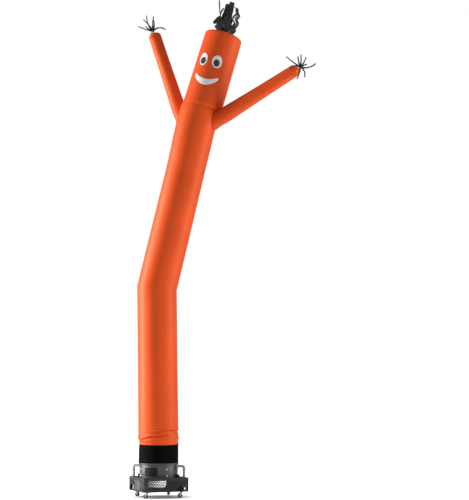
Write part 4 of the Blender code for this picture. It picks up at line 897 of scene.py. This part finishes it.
def box_side(bm, azimuth):
    """One side: a solid frame with its arches and inlet, filled with diamond mesh."""
    out = heading(azimuth + BOX_TURN)
    across = UP.cross(out)
    half, flat_end = BOX_SIDE / 2, BOX_SIDE / 2 - BOX_CORNER_R
    low, high = ARCH_FOOT, BOX_TOP - RAIL_HIGH
    arches = side_arches(azimuth)
    inlet = azimuth in (135.0, 315.0)
    plates = [(-flat_end, flat_end, BOX_BOTTOM, low), (-flat_end, flat_end, high, BOX_TOP - 0.006)]
    post = -1 if arches[0][0] > 0 else 1
    plates.append(tuple(sorted((post * flat_end, post * (half - POST)))) + (low, high))
    if inlet:
        plates += [(INLET_LEFT - 0.030, INLET_LEFT, low, high), (INLET_RIGHT, INLET_RIGHT + 0.016, low, high),
                   (INLET_LEFT, INLET_RIGHT, low, INLET_LOW), (INLET_LEFT, INLET_RIGHT, INLET_HIGH, high)]
    arch_end = half - ARCH_FROM_CORNER + ARCH_WIDTH / 2 + ARCH_BORDER
    solid_from = SOLID_FROM[azimuth]
    spans = [(arch_end, half - POST)]
    if solid_from < arch_end - ARCH_WIDTH - 2 * ARCH_BORDER:
        spans.append((solid_from, arch_end - ARCH_WIDTH - 2 * ARCH_BORDER))
    plates += [tuple(sorted((post * a, post * b))) + (low, high) for a, b in spans]
    for u0, u1, v0, v1 in plates:
        strip_plate(bm, [(u0, v0, v1), (u1, v0, v1)], out, across)
    for arch in arches:
        middle, wide, _ = arch
        spots = {middle + sign * (wide + extra) for sign in (-1, 1) for extra in (-0.0002, 0.0002, ARCH_BORDER)}
        spots |= {middle - (wide + ARCH_BORDER) * math.cos(math.pi * k / 36) for k in range(1, 36)}
        spots |= {post * solid_from + e for e in (-0.0002, 0.0002)}
        spots |= {sign * (half - POST + e) for sign in (-1, 1) for e in (-0.0002, 0.0002)} | {flat_end, -flat_end}
        columns = []
        for u in sorted(spots):
            if abs(u) > flat_end + 1e-6 or abs(u - middle) > wide + ARCH_BORDER + 1e-6:
                continue
            top = max(arch_edge(u, arch, ARCH_BORDER), low + 0.001)
            if abs(u) > half - POST and arch is arches[0] or u * post > solid_from:
                top = high
            columns.append((u, arch_edge(u, arch), top))
        strip_plate(bm, columns, out, across)

    def meshed(u, v):
        if not (low - 0.002 < v < high + 0.002 and abs(u) < half - POST + 0.002):
            return False
        if u * post > solid_from or inlet and INLET_LEFT - 0.028 < u < INLET_RIGHT + 0.014:
            return False
        return all(v > arch_edge(u, arch, ARCH_BORDER - 0.002) or abs(u - arch[0]) > arch[1] + ARCH_BORDER - 0.002
                   for arch in arches)

    step = 0.0010
    for slope, depth in ((1, 0.0004), (-1, 0.0010)):
        middle_out = AXIS + out * (half - depth - 0.0012)
        tilt = Vector((DIAMOND_WIDE, slope * DIAMOND_TALL)).normalized()
        off_u, off_v = -tilt.y * BAR / 2, tilt.x * BAR / 2
        for n in range(-22, 23):
            run = []
            for k in range(int((high - low) / step) + 4):
                v = low - 0.002 + k * step
                u = DIAMOND_WIDE * (n + slope * (v - low) / DIAMOND_TALL)
                if meshed(u, v):
                    run.append((u, v))
                if run and (not meshed(u, v) or k == int((high - low) / step) + 3):
                    (u0, v0), (u1, v1) = run[0], run[-1]
                    if v1 - v0 > 0.003:
                        outline = [(u0 - off_u, v0 - off_v), (u1 - off_u, v1 - off_v), (u1 + off_u, v1 + off_v),
                                   (u0 + off_u, v0 + off_v)]
                        prism(bm, outline, 0.0, 0.0012, middle_out, across, UP)
                    run = []


def box_shell(bm):
    """Folded sheet box: four pierced sides, rounded corners and a lid with the drum's hole."""
    for azimuth in (45.0, 135.0, 225.0, 315.0):
        box_side(bm, azimuth)
    turn = math.radians(45.0 + BOX_TURN)
    x_axis = Vector((math.cos(turn), math.sin(turn), 0))
    y_axis = Vector((-math.sin(turn), math.cos(turn), 0))
    steps = 6
    for quarter, (sx, sy) in enumerate(((1, 1), (-1, 1), (-1, -1), (1, -1))):
        centre = AXIS + (x_axis * sx + y_axis * sy) * (BOX_SIDE / 2 - BOX_CORNER_R)
        spans = ((BOX_BOTTOM, BOX_TOP - 0.006),)
        if quarter in (0, 2):
            spans = ((BOX_BOTTOM, ARCH_FOOT), (ARCH_FOOT + ARCH_HEIGHT, BOX_TOP - 0.006))
        for low, high in spans:
            rows = []
            for k in range(steps + 1):
                a = (quarter + k / steps) * math.pi / 2
                out = x_axis * math.cos(a) + y_axis * math.sin(a)
                rows.append([bm.verts.new(centre + out * r + UP * z)
                             for r, z in ((BOX_CORNER_R, low), (BOX_CORNER_R, high),
                                          (BOX_CORNER_R - BOX_WALL, high), (BOX_CORNER_R - BOX_WALL, low))])
            ring_rows(bm, rows, closed=False, caps=True)
    outline = rounded(BOX_SIDE, BOX_SIDE, BOX_CORNER_R, 6)
    levels = []
    for inset, z in ((0.0, BOX_TOP - 0.0062), (0.0, BOX_TOP - 0.0025), (0.0008, BOX_TOP - 0.0008), (0.0025, BOX_TOP)):
        small = rounded(BOX_SIDE - 2 * inset, BOX_SIDE - 2 * inset, BOX_CORNER_R, 6)
        levels.append([bm.verts.new(AXIS + x_axis * u + y_axis * v + UP * z) for u, v in small])
    hole = []
    for z in (BOX_TOP, BOX_TOP - BOX_WALL):
        ring = []
        for u, v in outline:
            direction = (x_axis * u + y_axis * v).normalized()
            ring.append(bm.verts.new(AXIS + direction * BOX_HOLE_R + UP * z))
        hole.append(ring)
    under = [bm.verts.new(AXIS + x_axis * u + y_axis * v + UP * (BOX_TOP - BOX_WALL))
             for u, v in rounded(BOX_SIDE - 2 * BOX_WALL, BOX_SIDE - 2 * BOX_WALL, BOX_CORNER_R - BOX_WALL, 6)]
    lower = [bm.verts.new(AXIS + x_axis * u + y_axis * v + UP * (BOX_TOP - 0.0062))
             for u, v in rounded(BOX_SIDE - 2 * BOX_WALL, BOX_SIDE - 2 * BOX_WALL, BOX_CORNER_R - BOX_WALL, 6)]
    ring_rows(bm, levels + [hole[0], hole[1], under, lower], closed=True)


def rounded_tube(bm, path, across, wide, deep, radius):
    """Tube of rounded rectangular section swept along points, each with its own outward direction."""
    rows = []
    for point, over in path:
        rows.append([bm.verts.new(point + across * u + over * v) for u, v in rounded(wide, deep, radius, 3)])
    ring_rows(bm, rows, closed=False, caps=True)


def handle(name, azimuth):
    out = heading(azimuth + BOX_TURN)
    side = UP.cross(out)
    centre_z = HANDLE_TOP - HANDLE_DEEP / 2
    path = [(AXIS + out * (FLANGE_R + 0.0004) + UP * centre_z, UP)]
    path.append((AXIS + out * (HANDLE_LEG_R - HANDLE_BEND - 0.012) + UP * centre_z, UP))
    for k in range(13):
        a = math.pi / 2 * k / 12
        point = (AXIS + out * (HANDLE_LEG_R - HANDLE_BEND + HANDLE_BEND * math.sin(a))
                 + UP * (centre_z - HANDLE_BEND + HANDLE_BEND * math.cos(a)))
        path.append((point, out * math.sin(a) + UP * math.cos(a)))
    path.append((AXIS + out * HANDLE_LEG_R + UP * (BOX_TOP + 0.0004), out))
    solid("handle_%s_tube" % name, lambda bm: rounded_tube(bm, path, side, HANDLE_WIDE, HANDLE_DEEP, 0.005),
          SATIN, ["handle_" + name])


def blower_body():
    solid("box_pierced", box_shell, BOX_GREY, ["base_box"], sharp=30)
    foot = BOX_TOP + 0.0004
    drum = ((DRUM_R, foot), (DRUM_R, foot + 0.004), (DRUM_R - 0.0006, foot + 0.0055), (DRUM_R, foot + 0.007),
            (DRUM_R, DRUM_TOP - 0.016), (DRUM_R - 0.0012, DRUM_TOP - 0.0145), (DRUM_R - 0.0012, DRUM_TOP),
            (DRUM_R - DRUM_WALL, DRUM_TOP), (DRUM_R - DRUM_WALL, foot))
    solid("drum_shell", lambda bm: turned(bm, drum, 128, AXIS), GREY, ["drum"], sharp=50)
    low, r = DRUM_TOP + 0.0004, FLANGE_R
    flange = ((r - 0.004, low), (r - 0.0012, low + 0.001), (r, low + 0.004), (r, FLANGE_TOP - 0.006),
              (r - 0.0012, FLANGE_TOP - 0.002), (r - 0.005, FLANGE_TOP), (0.215, FLANGE_TOP), (0.215, low))
    solid("flange_ring", lambda bm: turned(bm, flange, 128, AXIS), GREY, ["flange"], sharp=50)
    for name, azimuth in (("right", 90.0), ("left", -90.0)):
        handle(name, azimuth)
        out = heading(azimuth + BOX_TURN)
        near, far = DRUM_R + 0.0004, DRUM_R + 0.042
        outline = rounded(far - near, 0.034, 0.004, 3, ((near + far) / 2, 0.0))
        solid("block_%s_cast" % name,
              lambda bm, out=out, outline=outline: prism(bm, outline, BOX_TOP + 0.0004, BOX_TOP + 0.034, AXIS, out,
                                                         UP.cross(out)),
              BLACK, ["block_" + name], bevel=0.002)

    def label(bm):
        half = math.radians(LABEL_HALF_ANGLE) * DRUM_R
        spans = 24
        grid = {}
        for layer, lift in enumerate((0.0005, 0.0020)):
            for c in range(spans + 1):
                u = -half + 2 * half * c / spans
                inset = 0.004 - math.sqrt(max(0.0, 0.004 ** 2 - max(0.0, abs(u) - half + 0.004) ** 2))
                out = heading(LABEL_TURN + math.degrees(u / DRUM_R))
                for r, z in enumerate((LABEL_LOW + inset, LABEL_HIGH - inset)):
                    grid[layer, c, r] = bm.verts.new(AXIS + out * (DRUM_R + lift) + UP * z)
        for c in range(spans):
            bm.faces.new((grid[1, c, 0], grid[1, c + 1, 0], grid[1, c + 1, 1], grid[1, c, 1]))
            bm.faces.new((grid[0, c, 0], grid[0, c, 1], grid[0, c + 1, 1], grid[0, c + 1, 0]))
            for r in (0, 1):
                bm.faces.new((grid[0, c, r], grid[0, c + 1, r], grid[1, c + 1, r], grid[1, c, r]))
        for c in (0, spans):
            bm.faces.new((grid[0, c, 0], grid[0, c, 1], grid[1, c, 1], grid[1, c, 0]))
    solid("label_blank", label, PLATE, ["label_plate"])


def button_bolt(bm, centre, out, radius, height):
    """Low domed head with a hexagon socket."""
    profile = [(radius, 0.0), (radius, 0.15 * height), (radius * 0.96, 0.42 * height), (radius * 0.84, 0.72 * height),
               (radius * 0.66, 0.92 * height), (radius * 0.50, height)]
    first = UP
    second = out.cross(first)
    rows = []
    for r, level in profile + [(radius * 0.34, height), (radius * 0.33, 0.45 * height)]:
        row = []
        for i in range(24):
            a = 2 * math.pi * i / 24
            size = r
            if r < radius * 0.4:
                size = r / max(abs(math.cos((a + math.pi / 6) % (math.pi / 3) - math.pi / 6)), 0.8)
            row.append(bm.verts.new(centre + out * level + (first * math.cos(a) + second * math.sin(a)) * size))
        rows.append(row)
    ring_rows(bm, rows, closed=False, caps=True)


def small_parts():
    def drum_bolts(bm):
        for azimuth in (45.0, 135.0, 225.0, 315.0):
            out = heading(azimuth + BOLT_TURN + BOX_TURN)
            for z in BOLT_HEIGHTS:
                button_bolt(bm, AXIS + out * (DRUM_R + 0.0004) + UP * z, out, 0.012, 0.0081)
    solid("drum_bolts", drum_bolts, ZINC,
          ["bolt_%d_%s" % (k, level) for k in (1, 2, 3, 4) for level in ("low", "high")])

    def rivets(bm):
        for azimuth in (315.0, 135.0):
            out = heading(azimuth + BOX_TURN)
            seat = AXIS + UP.cross(out) * (INLET_LEFT + 0.008) + out * (BOX_SIDE / 2 - BOX_WALL)
            for z in (INLET_LOW + 0.014, INLET_HIGH - 0.014):
                turned(bm, ((0.006, 0.0), (0.0058, 0.0010), (0.0046, 0.0022), (0.0026, 0.0029), (0.0008, 0.0031)),
                       20, seat + UP * z, out, closed=False, caps=True)
    solid("guide_rivets", rivets, ZINC, ["rivet_low", "rivet_high", "rivet_far_low", "rivet_far_high"])


def caster(name):
    diagonal, trail = CASTERS[name]
    spot = AXIS + heading(diagonal + BOX_TURN) * CASTER_R
    back = heading(trail)
    side = UP.cross(back)
    plate_low = BOX_BOTTOM - 0.0004 - 0.004
    crown_high = plate_low - 0.0004
    axle = spot + back * CASTER_TRAIL + UP * WHEEL_R
    leg_in = WHEEL_WIDE / 2 + 0.0008

    def nut(bm):
        seat = spot + UP * (BOX_BOTTOM + 0.004 + 0.0004)
        hexagon = [(0.009 * math.cos(math.pi * i / 3), 0.009 * math.sin(math.pi * i / 3)) for i in range(6)]
        prism(bm, hexagon, 0.0, 0.0050, seat, Vector((1, 0, 0)), Vector((0, 1, 0)))
        turned(bm, ((0.0078, 0.0051), (0.0074, 0.0068), (0.0058, 0.0082), (0.0030, 0.0089), (0.0008, 0.0090)), 20,
               seat, closed=False, caps=True)
    solid("caster_%s_capnut" % name, nut, ZINC, ["caster_nut_" + name])

    def plate(bm):
        box_x, box_y = heading(45.0 + BOX_TURN), heading(135.0 + BOX_TURN)
        prism(bm, rounded(0.042, 0.042, 0.006, 3), 0.0, 0.004, spot + UP * plate_low, box_x, box_y)
    solid("caster_%s_plate" % name, plate, ZINC, ["caster_plate_" + name])

    def fork(bm):
        crown_low = crown_high - 0.0045
        turned(bm, ((0.006, crown_high), (0.0145, crown_high), (0.0165, crown_high - 0.0015),
                    (0.0165, crown_high - 0.0040), (0.0140, crown_low - 0.0015), (0.006, crown_low - 0.0015)), 32,
               spot, closed=False, caps=True)
        outline = rounded(2 * leg_in + 0.005, 0.030, 0.003, 2, (0.0, 0.005))
        prism(bm, outline, crown_low - 0.0012, crown_low + 0.0016, Vector(spot), -side, back)
        for way in (-1, 1):
            low, high = sorted((way * leg_in, way * (leg_in + 0.0025)))
            outline = [(-0.009, crown_low), (CASTER_TRAIL - 0.0075, WHEEL_R - 0.001)]
            for k in range(9):
                a = math.radians(200 + 140 * k / 8)
                outline.append((CASTER_TRAIL + 0.0078 * math.cos(a), WHEEL_R + 0.0078 * math.sin(a)))
            outline += [(CASTER_TRAIL + 0.0068, WHEEL_R + 0.004), (CASTER_TRAIL + 0.001, crown_low)]
            prism(bm, outline, low, high, Vector((spot.x, spot.y, 0.0)), back, UP)
            turned(bm, ((0.0052, 0.0), (0.0052, 0.0012), (0.0040, 0.0022), (0.0012, 0.0026)), 18,
                   axle + side * (way * (leg_in + 0.0025)), side * way, closed=False, caps=True)
        turned(bm, ((AXLE_R, -leg_in), (AXLE_R, leg_in)), 18, axle, side, closed=False, caps=True)
    solid("caster_%s_fork" % name, fork, ZINC, ["fork_" + name], body="fork_" + name, sharp=40)

    def wheel(bm):
        r, h, bore = WHEEL_R, WHEEL_WIDE / 2, AXLE_R + 0.0004
        tyre = ((r - 0.0085, -h * 0.80), (r - 0.0040, -h), (r - 0.0014, -h * 0.86), (r - 0.0002, -h * 0.55),
                (r, 0.0), (r - 0.0002, h * 0.55), (r - 0.0014, h * 0.86), (r - 0.0040, h), (r - 0.0085, h * 0.80))
        turned(bm, tyre, 40, axle, side)
        hub = ((bore, -h * 0.98), (0.0075, -h * 0.98), (0.0085, -h * 0.70), (0.0180, -h * 0.62),
               (r - 0.0090, -h * 0.84), (r - 0.0086, -h * 0.76), (r - 0.0086, h * 0.76), (r - 0.0090, h * 0.84),
               (0.0180, h * 0.62),
               (0.0085, h * 0.70), (0.0075, h * 0.98), (bore, h * 0.98))
        turned(bm, hub, 40, axle, side, slot=1)
    solid("caster_%s_wheel" % name, wheel, [RUBBER, HUB], ["wheel_" + name], body="wheel_" + name, sharp=30)


def keep_nodes():
    """CAD nodes whose shape is right keep it and get a better material."""
    for name, material in (("band", BLACK), ("outlet_grille", BLACK), ("motor", GREY), ("floor_plate", BOX_GREY),
                           ("inlet_guide", GREY), ("inlet_guide_far", GREY)):
        mesh = NODES[name].data
        mesh.materials.clear()
        mesh.materials.append(material)


tube_skin()
head_skin()
for arm_name in ARMS:
    arm_skin(arm_name)
for disc_name in FACE_DISCS:
    face_disc(disc_name)
mouth()
fringe("fringe_right", "arm_right")
fringe("fringe_left", "arm_left")
hair()
collar()
blower_body()
small_parts()
for caster_name in CASTERS:
    caster(caster_name)
keep_nodes()


# Room, light and camera

def stage():
    mesh = bpy.data.meshes.new("floor")
    half = 30.0
    mesh.from_pydata([(-half, -half, 0), (half, -half, 0), (half, half, 0), (-half, half, 0)], [], [(0, 1, 2, 3)])
    floor = bpy.data.objects.new("floor", mesh)
    bpy.context.scene.collection.objects.link(floor)
    made = bpy.data.materials.new("floor_white")
    made.use_nodes = True
    tree = made.node_tree
    shader = tree.nodes["Principled BSDF"]
    shader.inputs["Base Color"].default_value = (0.93, 0.93, 0.93, 1.0)
    shader.inputs["Roughness"].default_value = 0.9
    shader.inputs["Specular IOR Level"].default_value = 0.1
    shader.inputs["Emission Color"].default_value = (1.0, 1.0, 1.0, 1.0)
    # Painted light: camera rays see the floor glow, faint within 0.28 m of the blower's axis and full past 0.56 m, so
    # the floor further out reads white with its real shadows hidden, and only a patch round the blower shows shade.
    place = node(tree, "TexCoord").outputs["Object"]
    away = node(tree, "VectorMath", {1: (float(BLOWER[0]), float(BLOWER[1]), 0.0)}, operation="DISTANCE")
    tree.links.new(place, away.inputs[0])
    painted_floor_glow = node(tree, "MapRange", {"From Min": 0.28, "From Max": 0.56, "To Min": 0.08, "To Max": 1.0})
    tree.links.new(away.outputs["Value"], painted_floor_glow.inputs["Value"])
    seen = node(tree, "LightPath")
    tree.links.new(combine(tree, painted_floor_glow.outputs[0], seen.outputs["Is Camera Ray"], "MULTIPLY"),
                   shader.inputs["Emission Strength"])
    mesh.materials.append(made)

    world = bpy.data.worlds.new("studio")
    bpy.context.scene.world = world
    world.use_nodes = True
    tree = world.node_tree
    seen = tree.nodes["Background"]
    seen.inputs["Color"].default_value = (1.0, 1.0, 1.0, 1.0)
    seen.inputs["Strength"].default_value = 1.0
    fill = tree.nodes.new("ShaderNodeBackground")
    fill.inputs["Color"].default_value = (1.0, 1.0, 1.0, 1.0)
    fill.inputs["Strength"].default_value = 0.20
    mix = tree.nodes.new("ShaderNodeMixShader")
    ray = tree.nodes.new("ShaderNodeLightPath")
    tree.links.new(ray.outputs["Is Camera Ray"], mix.inputs[0])
    tree.links.new(fill.outputs[0], mix.inputs[1])
    tree.links.new(seen.outputs[0], mix.inputs[2])
    tree.links.new(mix.outputs[0], tree.nodes["World Output"].inputs["Surface"])


def area_light(name, place, target, width, height, watts):
    data = bpy.data.lights.new(name, "AREA")
    data.shape = "RECTANGLE"
    data.size, data.size_y, data.energy = width, height, watts
    lamp = bpy.data.objects.new(name, data)
    bpy.context.scene.collection.objects.link(lamp)
    lamp.location = place
    lamp.rotation_euler = (Vector(target) - Vector(place)).to_track_quat("-Z", "Y").to_euler()
    return lamp


def camera():
    data = bpy.data.cameras.new("camera")
    data.sensor_width = 36.0
    data.lens = 87.53
    eye = bpy.data.objects.new("camera", data)
    bpy.context.scene.collection.objects.link(eye)
    eye.location = (-0.39, -14.896, 1.15)
    eye.rotation_euler = (math.radians(90.0 + 7.094), 0.0, math.radians(-1.990))
    data.clip_end = 200.0
    bpy.context.scene.camera = eye


stage()
area_light("key_left", (-6.7, 0.7, 3.6), (-0.4, 0.1, 3.2), 1.8, 6.6, 800.0)
area_light("fill_right", (5.6, -0.7, 3.2), (-0.2, 0.1, 2.9), 2.4, 7.0, 310.0)
area_light("front_high", (0.2, -8.6, 5.4), (-0.5, 0.0, 2.6), 3.0, 4.0, 125.0)
camera()
bpy.context.scene.view_settings.view_transform = "Standard"
